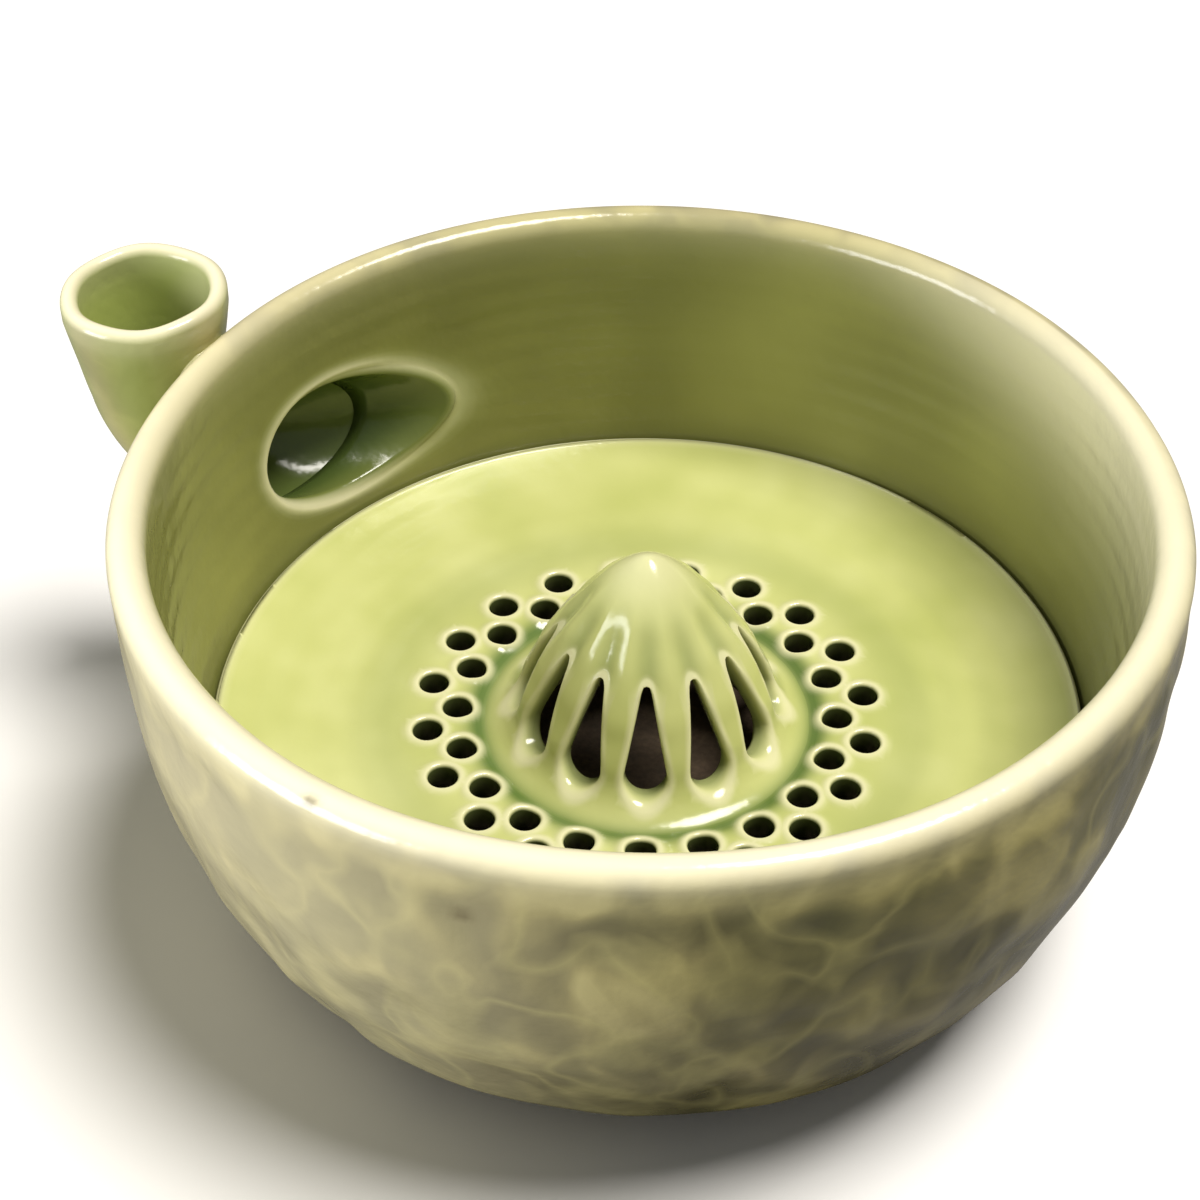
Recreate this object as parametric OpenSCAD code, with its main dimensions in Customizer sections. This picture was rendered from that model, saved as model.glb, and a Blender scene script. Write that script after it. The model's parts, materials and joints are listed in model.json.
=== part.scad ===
// Washing bowl for berries, in glazed stoneware: a bowl with a closed well under a
// lift-out strainer, and a filling spout luted to its rim. All lengths in millimetres.
// The origin is the middle of the foot's standing face, and the spout lies towards -X.

/* [Bowl] */
// Diameter of the bowl over its wall
bowl_d = 219; // [190:1:250]
// Height of the rim above the standing face
bowl_h = 102; // [97:1:130]
// Thickness of the thrown wall, which is also the thickness of its rolled rim
wall_t = 8; // [6:0.5:10]
// Radius of the wall's long curve, below its upright part
belly_r = 133; // [110:1:180]
// Height at which the wall turns upright
upright_z = 80; // [70:1:85]
// Radius of the tight curve where the wall turns under to the foot
heel_r = 22; // [16:1:28]
// Thickness of the bowl's floor, under the well
floor_t = 7; // [5:0.5:9]
// Radius of the curve between the well's side and its floor
well_r = 12; // [6:1:15]

/* [Foot ring] */
// Distance from the start of the heel's curve in to the foot ring
foot_inset = 5.3; // [1:0.1:20]
// Thickness of the foot ring
foot_t = 8; // [6:0.5:12]
// Height of the foot ring
foot_h = 7.6; // [5:0.2:10]
// Bevel along the foot ring's standing face
foot_bevel = 1.2; // [0.5:0.1:2]

/* [Strainer plate] */
// Height of the ledge in the bowl that the strainer rests on
ledge_z = 36; // [33:0.5:40]
// Width of the ledge
ledge_w = 9.5; // [7:0.5:14]
// Thickness of the strainer plate
plate_t = 7; // [5:0.5:9]
// Depth of the plate's dished top, from its edge to its middle
dish = 5; // [2:0.5:7]
// Clearance between the plate's edge and the bowl's wall
plate_gap = 0.8; // [0.5:0.1:2]
// Depth of the channel round the cone, below the plate's flat middle
moat_depth = 1.2; // [0.5:0.1:2.5]
// Width of the channel round the cone's foot
moat_w = 3; // [2:0.5:8]

/* [Drain holes] */
// Diameter of a drain hole
hole_d = 6.4; // [4:0.2:7]
// Number of holes in each of the two rings
ring_holes = 20; // [12:1:20]
// Clay left between the channel and the inner ring of holes
ring_margin = 0.6; // [0.4:0.1:3]
// Radial step from the inner ring of holes to the outer ring
ring_step = 6.5; // [6:0.5:12]

/* [Strainer cone] */
// Outer diameter of the cone above its flared foot
cone_d = 60; // [54:1:70]
// Height of the cone above the channel that it stands in
cone_h = 46; // [40:1:60]
// Thickness of the cone's wall at its base
cone_t = 4.5; // [3.5:0.25:6]
// Thickness of clay left at the cone's tip
tip_t = 7; // [5:0.5:9]
// Swell of the cone's side, larger for a fuller side
cone_swell = 1.45; // [1.3:0.05:1.9]
// Exponent of the cone's closing curve, smaller for a blunter tip
cone_close = 0.72; // [0.6:0.02:0.8]
// Radius of the cove by which the cone's foot flares into the channel
cove_r = 5; // [2:0.5:7]
// Height of the edge that is left at the rim of the flared foot
foot_edge = 0.6; // [0.4:0.1:1.5]

/* [Teardrop slots] */
// Number of slots round the cone
slots = 12; // [8:1:13]
// Width of a slot across its round lower end
slot_w = 9; // [6:0.5:9.5]
// Width of a slot across its narrow upper end
slot_tip_w = 1.8; // [1:0.2:3]
// Height of a slot from its lower to its upper end
slot_h = 23; // [17:1:26]
// Clay left below the slots
slot_sill = 3.2; // [1.5:0.1:4]
// Depth of the flute that runs on above each slot
flute_depth = 1.4; // [0.8:0.1:2]
// Rise of the flute above its slot
flute_h = 9; // [5:0.5:11]
// Turn of the first slot from the +X direction, in degrees
slot_turn = 28; // [0:1:29]

/* [Filling spout] */
// Outer diameter of the cup at its lip
cup_d = 36.6; // [33:0.2:42]
// Outer diameter of the spout where its bend begins
neck_d = 26; // [23:0.5:30]
// Thickness of the cup, the bend and the tube
spout_t = 3.6; // [3:0.1:4.5]
// Height of the cup's lip above the bowl's rim
cup_rise = 6; // [2:0.5:12]
// Length of the upright band below the cup's lip
cup_band = 3; // [2:0.5:8]
// Exponent of the cup's swelling side, smaller for a rounder bottom
cup_swell = 0.55; // [0.45:0.05:1]
// Radius of the bend's middle line
bend_r = 20; // [17:0.5:24]
// Drop from the bowl's rim to the middle of the opening into the bowl
port_drop = 39.5; // [38:0.5:41]
// Inner diameter of the opening into the bowl
port_d = 27; // [22:0.5:28]
// Angle between the tube and the line from the cup to the bowl's middle, in degrees
swirl = 38; // [32:1:40]

/* [Luting] */
// Gap left for slip between clay pieces that are luted on a curved face
slip_gap = 0.2; // [0.1:0.05:0.4]
// Width of the luting strip between the cup and the bowl
strip_w = 12; // [8:1:16]
// Height of the luting strip
strip_h = 12; // [8:1:14]

/* [Hidden] */
$fn = 240;

// Length by which a cutter runs past the face that it cuts
past = 1;

// Bowl: middles and turns of the arcs of its wall, each tangent to the next
bowl_r = bowl_d / 2;
lip_r = wall_t / 2;
lip_z = bowl_h - lip_r;
belly_x = bowl_r - belly_r;
heel_z = foot_h + heel_r;
heel_x = belly_x + sqrt(pow(belly_r - heel_r, 2) - pow(upright_z - heel_z, 2));
heel_turn = asin((upright_z - heel_z) / (belly_r - heel_r));
foot_r = heel_x - foot_inset;

// Radius of the bowl's wall at height z, at the given depth in from its outer face
function wall_r(z, depth = 0) =
    z > upright_z ? bowl_r - depth : belly_x + sqrt(pow(belly_r - depth, 2) - pow(upright_z - z, 2));

// Bowl: ledge and well
ledge_out_r = wall_r(ledge_z, wall_t);
ledge_in_r = ledge_out_r - ledge_w;
ledge_turn = asin((upright_z - ledge_z) / (belly_r - wall_t));
well_z = foot_h + floor_t;

// Strainer plate: its edge follows the wall, and its top and underside are dished alike
plate_z = ledge_z + plate_t;
plate_low_r = ledge_out_r - plate_gap;
plate_top_r = wall_r(plate_z, wall_t) - plate_gap;
plate_mid_z = plate_z - dish;
seat_r = ledge_in_r - past;
cone_r = cone_d / 2;
cone_in_r = cone_r - cone_t;
cone_foot_r = cone_r + cove_r;
moat_r = cone_foot_r + moat_w;
moat_z = plate_mid_z - moat_depth;
inner_ring_r = moat_r + ring_margin + hole_d / 2;
outer_ring_r = inner_ring_r + ring_step;
flat_r = outer_ring_r + hole_d;

// Teardrop slots: middles of their two round ends
slot_low_z = moat_z + slot_sill + slot_w / 2;
slot_high_z = moat_z + slot_sill + slot_h - slot_tip_w / 2;

// Filling spout: the cup stands on the bend, and the tube runs from the bend to the wall
cup_r = cup_d / 2;
cup_x = bowl_r + slip_gap + cup_r;
cup_z = bowl_h + cup_rise;
cup_lip_r = spout_t / 2;
band_z = cup_z - cup_lip_r - cup_band;
neck_r = neck_d / 2;
port_z = bowl_h - port_drop;
neck_z = port_z + bend_r;
port_r = port_d / 2;
tube_far = cup_x * cos(swirl);
tube_off = cup_x * sin(swirl);
tube_end = tube_far - sqrt(pow(wall_r(port_z), 2) - pow(tube_off, 2));

// Points along an arc about middle c, from angle a to angle b
function arc(c, r, a, b, steps) =
    [for (i = [0:steps]) let (t = a + (b - a) * i / steps) c + r * [cos(t), sin(t)]];

// Radius of a cone at a share u of its height: full at the base, closing in a blunt tip
function cone_at(u, base) = base * pow(1 - pow(u, cone_swell), cone_close);

// Outline of a cone's side from its base to its tip, with closer points towards the tip
function cone_side(base, high, steps) =
    [for (i = [0:steps]) let (u = sin(90 * i / steps)) [cone_at(u, base), moat_z + high * u]];

// A list in the other order
function back(list) = [for (i = [len(list) - 1:-1:0]) list[i]];

// Outline of a dished face from its flat middle out to its edge, rising with the square
function dished(edge_r, low_z, steps) =
    [for (i = [0:steps]) let (t = i / steps) [flat_r + (edge_r - flat_r) * t, low_z + dish * t * t]];

// Outline of the cup's side from the neck to its band, at the given depth in from its outer face
function cup_side(depth, steps) =
    [for (i = [0:steps]) let (t = pow(i / steps, 2))
        [neck_r - depth + (cup_r - neck_r) * pow(t, cup_swell), neck_z + (band_z - neck_z) * t]];

// Outer outline of the bowl, from the middle of its underside up to where it is upright
function bowl_outside() = concat(
    [[0, foot_h]],
    arc([heel_x, heel_z], heel_r, -90, -heel_turn, 9),
    [for (p = arc([belly_x, upright_z], belly_r, -heel_turn, 0, 10)) if (p[1] > heel_z) p]
);

// Inner outline of the bowl, from where it is upright past the ledge to the middle of the well
function bowl_inside() = concat(
    arc([belly_x, upright_z], belly_r - wall_t, 0, -ledge_turn, 8),
    [[ledge_in_r, ledge_z]],
    arc([ledge_in_r - well_r, well_z + well_r], well_r, 0, -90, 6),
    [[0, well_z]]
);

// The bowl's outside as a block without its hollow, grown by a gap for what is luted on it
module bowl_block(gap = 0) {
    rotate_extrude() polygon(concat(
        [for (p = bowl_outside()) p[0] > 0 ? p + [gap, 0] : p],
        [[bowl_r + gap, bowl_h], [0, bowl_h]]
    ));
}

// Puts its children at the foot of the cup's axis, with +X along the tube into the bowl
module at_spout() translate([-cup_x, 0, 0]) rotate([0, 0, swirl]) children();

// Ring of drain holes through the plate, turned by a share of their pitch
module hole_ring(r, share) {
    for (i = [0:ring_holes - 1]) rotate([0, 0, (i + share) * 360 / ring_holes])
        translate([r, 0, plate_mid_z - plate_t - past])
            cylinder(h = plate_t + 2 * past, d = hole_d);
}

// Teardrop with its round lower end at the origin, its sides tangent to both round ends
module teardrop(low_r, high_r, rise) {
    lean = asin((low_r - high_r) / rise);
    polygon(concat(
        arc([0, 0], low_r, 180 - lean, 360 + lean, 12),
        arc([0, rise], high_r, lean, 180 - lean, 4)
    ));
}

// Cutter for one slot, straight out through the cone's wall along +X
module slot_cutter() {
    start = cone_in_r / 3;
    translate([start, 0, slot_low_z]) rotate([90, 0, 90]) linear_extrude(cone_foot_r)
        teardrop(slot_w / 2, slot_tip_w / 2, slot_high_z - slot_low_z);
}

// Cutter for one flute, a slim taper lying on the cone's side above a slot
module flute_cutter() {
    low_r = cone_at((slot_high_z - moat_z) / cone_h, cone_r);
    high_r = cone_at((slot_high_z + flute_h - moat_z) / cone_h, cone_r);
    lean = atan((low_r - high_r) / flute_h);
    translate([low_r, 0, slot_high_z]) rotate([0, -lean, 0])
        cylinder(h = flute_h / cos(lean), r1 = flute_depth, r2 = flute_depth / 3, $fn = 32);
}

// Outside or hollow of the bend and its tube, for the given radii at the neck and the wall
module bend_form(start_r, end_r, length) {
    translate([bend_r, 0, neck_z]) rotate([90, 0, 0]) rotate([0, 0, 180])
        rotate_extrude(angle = 90) translate([bend_r, 0]) circle(start_r);
    translate([bend_r, 0, port_z]) rotate([0, 90, 0])
        cylinder(h = tube_end - bend_r, r1 = start_r, r2 = end_r);
    translate([tube_end, 0, port_z]) rotate([0, 90, 0]) cylinder(h = length, r = end_r);
}

// Thrown wall with rolled rim, ledge and closed well, bored at a slant for the spout
module bowl_body() {
    color("#8f8b4a") difference() {
        rotate_extrude() polygon(concat(
            bowl_outside(),
            arc([bowl_r - lip_r, lip_z], lip_r, 0, 180, 10),
            bowl_inside()
        ));
        at_spout() translate([0, 0, port_z]) rotate([0, 90, 0]) cylinder(h = tube_far, r = port_r);
    }
}

// Ring that the bowl stands on, bevelled along its standing face
module foot_ring() {
    color("#4a3524") rotate_extrude() polygon([
        [foot_r - foot_t + foot_bevel, 0], [foot_r - foot_bevel, 0], [foot_r, foot_bevel],
        [foot_r, foot_h], [foot_r - foot_t, foot_h], [foot_r - foot_t, foot_bevel]
    ]);
}

// Dished plate with its channel, the opening under the cone and two rings of drain holes
module strainer_plate() {
    color("#a9ad60") difference() {
        rotate_extrude() polygon(concat(
            [[cone_in_r, moat_z], [moat_r - moat_depth, moat_z]],
            [[moat_r, plate_mid_z]],
            dished(plate_top_r, plate_mid_z, 6),
            [[plate_low_r, ledge_z]],
            back(dished(seat_r, plate_mid_z - plate_t, 6)),
            [[cone_in_r, plate_mid_z - plate_t]]
        ));
        hole_ring(inner_ring_r, 0.5);
        hole_ring(outer_ring_r, 0);
    }
}

// Hollow cone that stands in the channel, with its ring of teardrop slots and flutes
module strainer_cone() {
    color("#b4b872") difference() {
        rotate_extrude() polygon(concat(
            [[cone_foot_r, moat_z]],
            arc([cone_foot_r, moat_z + foot_edge + cove_r], cove_r, -90, -180, 5),
            [for (p = cone_side(cone_r, cone_h, 14)) if (p[1] > moat_z + foot_edge + cove_r) p],
            back(cone_side(cone_in_r, cone_h - tip_t, 12))
        ));
        for (i = [0:slots - 1]) rotate([0, 0, slot_turn + i * 360 / slots]) {
            slot_cutter();
            flute_cutter();
        }
    }
}

// Cup of the filling spout, swelling from the neck to its rolled lip
module spout_cup() {
    color("#8f8c4a") translate([-cup_x, 0, 0]) rotate_extrude() polygon(concat(
        cup_side(0, 8),
        arc([cup_r - cup_lip_r, cup_z - cup_lip_r], cup_lip_r, 0, 180, 8),
        back(cup_side(spout_t, 8))
    ));
}

// Bend and tube that carry the water down from the cup and in through the wall
module spout_bend() {
    color("#8b8848") difference() {
        at_spout() difference() {
            bend_form(neck_r, port_r + spout_t, tube_far - tube_end);
            bend_form(neck_r - spout_t, port_r, tube_far);
        }
        bowl_block(slip_gap);
    }
}

// Strip of clay pressed into the cleft between the cup and the bowl's wall
module luting_strip() {
    color("#cfc891") difference() {
        translate([-cup_x, -strip_w / 2, lip_z - strip_h]) cube([cup_x - bowl_r, strip_w, strip_h]);
        bowl_block(slip_gap);
        translate([-cup_x, 0, 0]) rotate_extrude() polygon(concat(
            [[0, neck_z - past], [neck_r + slip_gap, neck_z - past]],
            cup_side(-slip_gap, 8),
            [[cup_r + slip_gap, cup_z], [0, cup_z]]
        ));
    }
}

bowl_body();
foot_ring();
strainer_plate();
strainer_cone();
spout_cup();
spout_bend();
luting_strip();
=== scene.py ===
# %% [markdown]
# # A washing bowl for berries, in celadon-glazed stoneware
# The real object is thrown on a wheel: a thick bowl with a filling spout luted to its rim, and a
# lift-out strainer, a dished plate with a hollow slotted cone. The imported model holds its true
# sizes. Here each part gets the soft skin that fingers, a wet sponge and melting glaze give it.

# %% Load the frame
import json
import math

import bpy
import numpy as np
from mathutils import Matrix, Vector

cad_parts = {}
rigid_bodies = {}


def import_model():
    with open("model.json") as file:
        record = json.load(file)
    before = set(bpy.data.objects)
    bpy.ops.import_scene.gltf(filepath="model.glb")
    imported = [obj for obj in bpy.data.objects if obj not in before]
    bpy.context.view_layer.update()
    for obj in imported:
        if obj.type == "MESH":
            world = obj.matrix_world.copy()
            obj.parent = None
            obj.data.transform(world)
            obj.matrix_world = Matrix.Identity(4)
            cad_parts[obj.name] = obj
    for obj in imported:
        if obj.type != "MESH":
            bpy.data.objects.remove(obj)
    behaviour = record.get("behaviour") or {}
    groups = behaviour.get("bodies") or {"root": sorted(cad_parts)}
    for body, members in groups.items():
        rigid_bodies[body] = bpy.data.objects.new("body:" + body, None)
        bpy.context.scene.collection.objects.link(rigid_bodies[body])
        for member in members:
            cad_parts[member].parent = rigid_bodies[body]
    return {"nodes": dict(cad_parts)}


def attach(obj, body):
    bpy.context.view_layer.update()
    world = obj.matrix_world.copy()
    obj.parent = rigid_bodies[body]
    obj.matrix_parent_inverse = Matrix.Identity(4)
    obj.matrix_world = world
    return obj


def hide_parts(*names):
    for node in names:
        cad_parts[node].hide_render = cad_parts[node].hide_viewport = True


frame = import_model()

MM = 0.001
FULL_TURN = 2 * np.pi
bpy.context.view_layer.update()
print("nodes:", sorted(frame["nodes"]))

# %% [markdown]
# ## The camera
# The bowl is seen from about 41 degrees above, with the spout to the left and beyond. The
# camera's three directions follow from the height and the turn of the view, and they make the
# columns of its matrix.

# %% Place the camera
TURN, HEIGHT, ROLL = math.radians(29.7), math.radians(40.7), math.radians(-0.2)
BOWL_H, DISTANCE, TO_LEFT, DOWN, FOCAL = 102.0, 504.5, 10.12, 23.68, 74.4

ahead = Vector((0, math.cos(HEIGHT), -math.sin(HEIGHT)))
right = Vector((1, 0, 0))
above = right.cross(ahead)
cam_right = math.cos(ROLL) * right + math.sin(ROLL) * above
cam_up = -math.sin(ROLL) * right + math.cos(ROLL) * above
spot = Vector((0, 0, BOWL_H)) - ahead * DISTANCE - cam_right * TO_LEFT - cam_up * DOWN
turned = Matrix.Rotation(TURN, 3, "Z")
spot, cam_right, cam_up, ahead = (turned @ v for v in (spot, cam_right, cam_up, ahead))

lens = bpy.data.cameras.new("bench_camera")
lens.lens = FOCAL
lens.sensor_width = 36
lens.clip_start = 0.01
camera = bpy.data.objects.new("bench_camera", lens)
bpy.context.collection.objects.link(camera)
rows = [(cam_right[k], cam_up[k], -ahead[k], spot[k] * MM) for k in range(3)]
camera.matrix_world = Matrix((*rows, (0, 0, 0, 1)))
bpy.context.scene.camera = camera
print("camera at", [round(v) for v in spot], "mm")

# %% [markdown]
# ## Colours and nodes
# Potters name a glaze by how it looks where it is thin and where it pools. Such colours are
# easiest to write as hex values, turned into the linear numbers of light. A few helpers make each
# material below a short list.

# %% Helpers for colours and nodes
def hex_rgb(code):
    """Linear red, green and blue of a colour written as sRGB hex: the sRGB curve undone."""
    srgb = np.array([int(code[i:i + 2], 16) for i in (1, 3, 5)]) / 255
    linear = np.where(srgb <= 0.04045, srgb / 12.92, ((srgb + 0.055) / 1.055) ** 2.4)
    return (*[float(v) for v in linear], 1.0)


def node(tree, kind, settings=None, feeds=None):
    """Adds one node. Settings are its properties, and each feed is a value, a hex colour or a link."""
    made = tree.nodes.new(kind)
    for name, value in (settings or {}).items():
        setattr(made, name, value)
    for name, value in (feeds or {}).items():
        if isinstance(value, bpy.types.NodeSocket):
            tree.links.new(value, made.inputs[name])
        else:
            made.inputs[name].default_value = hex_rgb(value) if isinstance(value, str) else value
    return made


def ramp(tree, factor, stops):
    """A colour ramp through the given (position, hex colour) stops."""
    made = node(tree, "ShaderNodeValToRGB", feeds={"Fac": factor})
    bar = made.color_ramp
    while len(bar.elements) < len(stops):
        bar.elements.new(0.5)
    for stop, (at, colour) in zip(bar.elements, stops):
        stop.position = at
        stop.color = hex_rgb(colour)
    return made.outputs["Color"]


def blend(tree, share, first, second):
    """Mixes two colours by a share, each a link or a hex value."""
    return node(tree, "ShaderNodeMix", {"data_type": "RGBA"}, {0: share, 6: first, 7: second}).outputs[2]


def scaled(tree, value, factor, shift=0.0):
    """A link times a factor plus a shift, itself a number or a link, kept between 0 and 1."""
    return node(tree, "ShaderNodeMath", {"operation": "MULTIPLY_ADD", "use_clamp": True},
                {0: value, 1: factor, 2: shift}).outputs[0]


def mark(tree, name):
    """Reads one of the numbers that a piece keeps at its points, such as where glaze is thin."""
    return node(tree, "ShaderNodeAttribute", {"attribute_name": name}).outputs["Fac"]


def layered(tree, colour, **layers):
    """Lays colours over one another, each where the mark of its name is strong."""
    for name, over in layers.items():
        colour = blend(tree, mark(tree, name), colour, over)
    return colour


def noise(tree, place, size_mm, detail=2.0, rough=0.5, warp=0.0):
    """Soft noise whose patches measure about the given millimetres."""
    return node(tree, "ShaderNodeTexNoise", feeds={
        "Vector": place, "Scale": 1000 / size_mm, "Detail": detail,
        "Roughness": rough, "Distortion": warp}).outputs["Fac"]


def new_finish(name):
    """An empty material, the tree to fill, and places on the piece in metres."""
    made = bpy.data.materials.new(name)
    made.use_nodes = True
    made.node_tree.nodes.clear()
    return made, made.node_tree, node(made.node_tree, "ShaderNodeTexCoord").outputs["Object"]


def end_finish(tree, colour, roughness, relief=None, strength=0.0, depth_mm=0.0, shine=0.5):
    """Ends a material with its colour, roughness and shine, and a fine relief of the given depth."""
    feeds = {"Base Color": colour, "Roughness": roughness, "IOR": 1.5, "Specular IOR Level": shine}
    if relief is not None:
        feeds["Normal"] = node(tree, "ShaderNodeBump", feeds={
            "Strength": strength, "Distance": depth_mm * MM, "Height": relief}).outputs["Normal"]
    surface = node(tree, "ShaderNodeBsdfPrincipled", feeds=feeds)
    node(tree, "ShaderNodeOutputMaterial", feeds={"Surface": surface.outputs["BSDF"]})
    print("a material of", len(tree.nodes), "nodes")


CREAM = "#eee7c6"
print("where the glaze is thin:", [round(v, 3) for v in hex_rgb(CREAM)[:3]])

# %% [markdown]
# ## The celadon glaze on the bowl
# Celadon is a clear, glossy stoneware glaze tinted by a little iron, with an index of about 1.5.
# It runs thin and cream on rims, and pools deep green. Over the pinched wall it is mottled in
# patches of 10 to 20 mm with yellow veins between them. The wall is painted paler towards the
# camera's left, a painted lit side, and the cream of thin glaze is also painted on where light
# falls, a painted highlight. The marks kept on each piece say where it is thin or painted lit,
# pooled, leafy green, inside, or on the painted lit side and in streaks.

# %% Celadon glaze
celadon, t, place = new_finish("celadon_glaze_over_stoneware")
# finger marks run up the wall, so the pattern is drawn out a little in height
drawn = node(t, "ShaderNodeMapping", feeds={"Vector": place, "Scale": (1.0, 1.0, 0.8)}).outputs["Vector"]
patches = scaled(t, mark(t, "hollow"), -0.34, noise(t, drawn, 15, 1.6, 0.45, 0.5))
mottled = ramp(t, patches, [(0.13, "#605d36"), (0.23, "#6d693f"), (0.31, "#7b7648"),
                            (0.40, "#8b8452"), (0.47, "#a1985f"), (0.58, "#bcb274")])
cloudy = ramp(t, noise(t, place, 75), [(0.42, "#000000"), (0.66, "#7a7a7a")])
browned = blend(t, cloudy, mottled, "#7d6843")
veins = noise(t, drawn, 21, 1.6, 0.45, 0.6)
veins = ramp(t, veins, [(0.43, "#000000"), (0.50, "#ffffff"), (0.58, "#000000")])
veined = blend(t, scaled(t, veins, 0.37), browned, "#b9b06e")
# painted light: the wall's side towards the camera's left is painted paler, and on the spout the same mark
# draws streaks
with_painted_light_and_streaks = blend(t, scaled(t, mark(t, "painted_lit_side_and_streaks"), 0.52), veined, "#eadfb6")
within = ramp(t, noise(t, place, 60), [(0.3, "#70723b"), (0.55, "#7f8043"), (0.75, "#93944f")])
# the cream is thin glaze, and on the rim's camera side, the inner right wall and the cup's inside right it is
# also painted light
glaze = layered(t, with_painted_light_and_streaks, inside=within, leaf="#a5b060", pool="#3f5023", thin=CREAM, speck="#574b34")
end_finish(t, glaze, 0.19, noise(t, place, 5), 0.35, 0.6)

# %% [markdown]
# ## The paler glaze on the strainer
# The strainer is dipped in the same glaze over a paler slip, so it comes out like pistachio. It
# pools blue green in the channel and the flutes, and breaks to cream on the lips of the holes and
# slots. Down the holes and slots, in the cone's hollow and under the plate it is painted dark
# brown, a painted shade.

# %% Pale strainer glaze
pale, t, place = new_finish("pale_celadon_on_strainer")
cloud = ramp(t, noise(t, place, 30), [(0.3, "#bbc173"), (0.5, "#c6ca80"), (0.7, "#d1d48f")])
# the dark brown is painted shade, laid down the holes and slots, in the cone's hollow and under the plate
glaze = layered(t, cloud, pool="#557032", deep="#2f2c1a", thin="#e2dfb4")
end_finish(t, glaze, 0.16, noise(t, place, 6), 0.3, 0.5)

# %% [markdown]
# ## Bare clay
# The foot and the underside are left bare, or the bowl would stick to the kiln shelf, and so are
# the ledge and the well under the strainer. Iron-rich stoneware fires to a dark toasted brown,
# matt, with fine grog.

# %% Bare stoneware
clay, t, place = new_finish("bare_iron_stoneware")
toast = ramp(t, noise(t, place, 22, 4.0, 0.6), [(0.3, "#3a2f22"), (0.5, "#4a3c2c"), (0.72, "#5d4b38")])
grog = ramp(t, noise(t, place, 1.6, 2.0, 0.6), [(0.35, "#2a2118"), (0.5, "#6e5f4c"), (0.68, "#9a8565")])
end_finish(t, blend(t, 0.12, toast, grog), 0.72, noise(t, place, 1.4, 3.0, 0.6), 0.5, 0.4)

# %% [markdown]
# ## Sizes and the bowl's outline
# The sizes repeat those of the source in millimetres. A thrown bowl is a profile turned about the
# wheel's axis, so its skin is a function of two numbers: the turn, and the distance along the
# profile, a chain of arcs and straight runs. Displacing points is then simple, and any patch of
# the skin can be stretched round an opening.

# %% The bowl's profile
BOWL_R, WALL, RIM_R, UNDER_Z, NEAR_AXIS = 109.5, 8.0, 4.0, 7.6, 0.5
BELLY_R, UPRIGHT_Z, BELLY_X = 133.0, 80.0, -23.5
HEEL_X, HEEL_Z, HEEL_R = 75.4, 29.6, 22.0
LEDGE_Z, LEDGE_IN, LEDGE_OUT, LEDGE_EASE = 36.0, 84.0, 93.2, 1.0
WELL_Z, WELL_R = 14.6, 12.0


def wall_radius(z, depth=0.0):
    """Radius of the wall at height z, the given depth in: upright above 80 mm, an arc below."""
    arc = BELLY_X + np.sqrt(np.maximum((BELLY_R - depth) ** 2 - np.maximum(UPRIGHT_Z - z, 0) ** 2, 0))
    return np.where(z > UPRIGHT_Z, BOWL_R - depth, arc)


def arc_points(cx, cz, r, start, end, count):
    """Points on an arc about (cx, cz), between two angles in degrees."""
    a = np.radians(np.linspace(start, end, count))
    return np.stack([cx + r * np.cos(a), cz + r * np.sin(a)], 1)


class Profile:
    """A chain of points, read by the distance along it."""

    def __init__(self, *parts):
        chain = np.concatenate(parts)
        keep = np.r_[True, np.linalg.norm(np.diff(chain, axis=0), axis=1) > 1e-4]
        self.points = chain[keep]
        steps = np.linalg.norm(np.diff(self.points, axis=0), axis=1)
        self.along = np.r_[0, np.cumsum(steps)]

    def at(self, s):
        """Radius and height at a distance along the chain, joined by straight lines."""
        return np.interp(s, self.along, self.points[:, 0]), np.interp(s, self.along, self.points[:, 1])

    def normal(self, s):
        """Outward direction: the tangent, taken over 0.8 mm, turned a quarter."""
        r1, z1 = self.at(np.clip(s + 0.4, 0, self.along[-1]))
        r0, z0 = self.at(np.clip(s - 0.4, 0, self.along[-1]))
        length = np.hypot(r1 - r0, z1 - z0) + 1e-9
        return (z1 - z0) / length, -(r1 - r0) / length

    def find(self, r, z):
        """Distance along the chain to the point nearest to a radius and height."""
        return float(self.along[np.argmin(np.hypot(self.points[:, 0] - r, self.points[:, 1] - z))])

    def look_up(self, axis, value, first, last):
        """Distance along the chain where the radius (0) or height (1) has a value, between two points."""
        known, along = self.points[first:last, axis], self.along[first:last]
        order = np.argsort(known)
        return np.interp(value, known[order], along[order])


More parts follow.
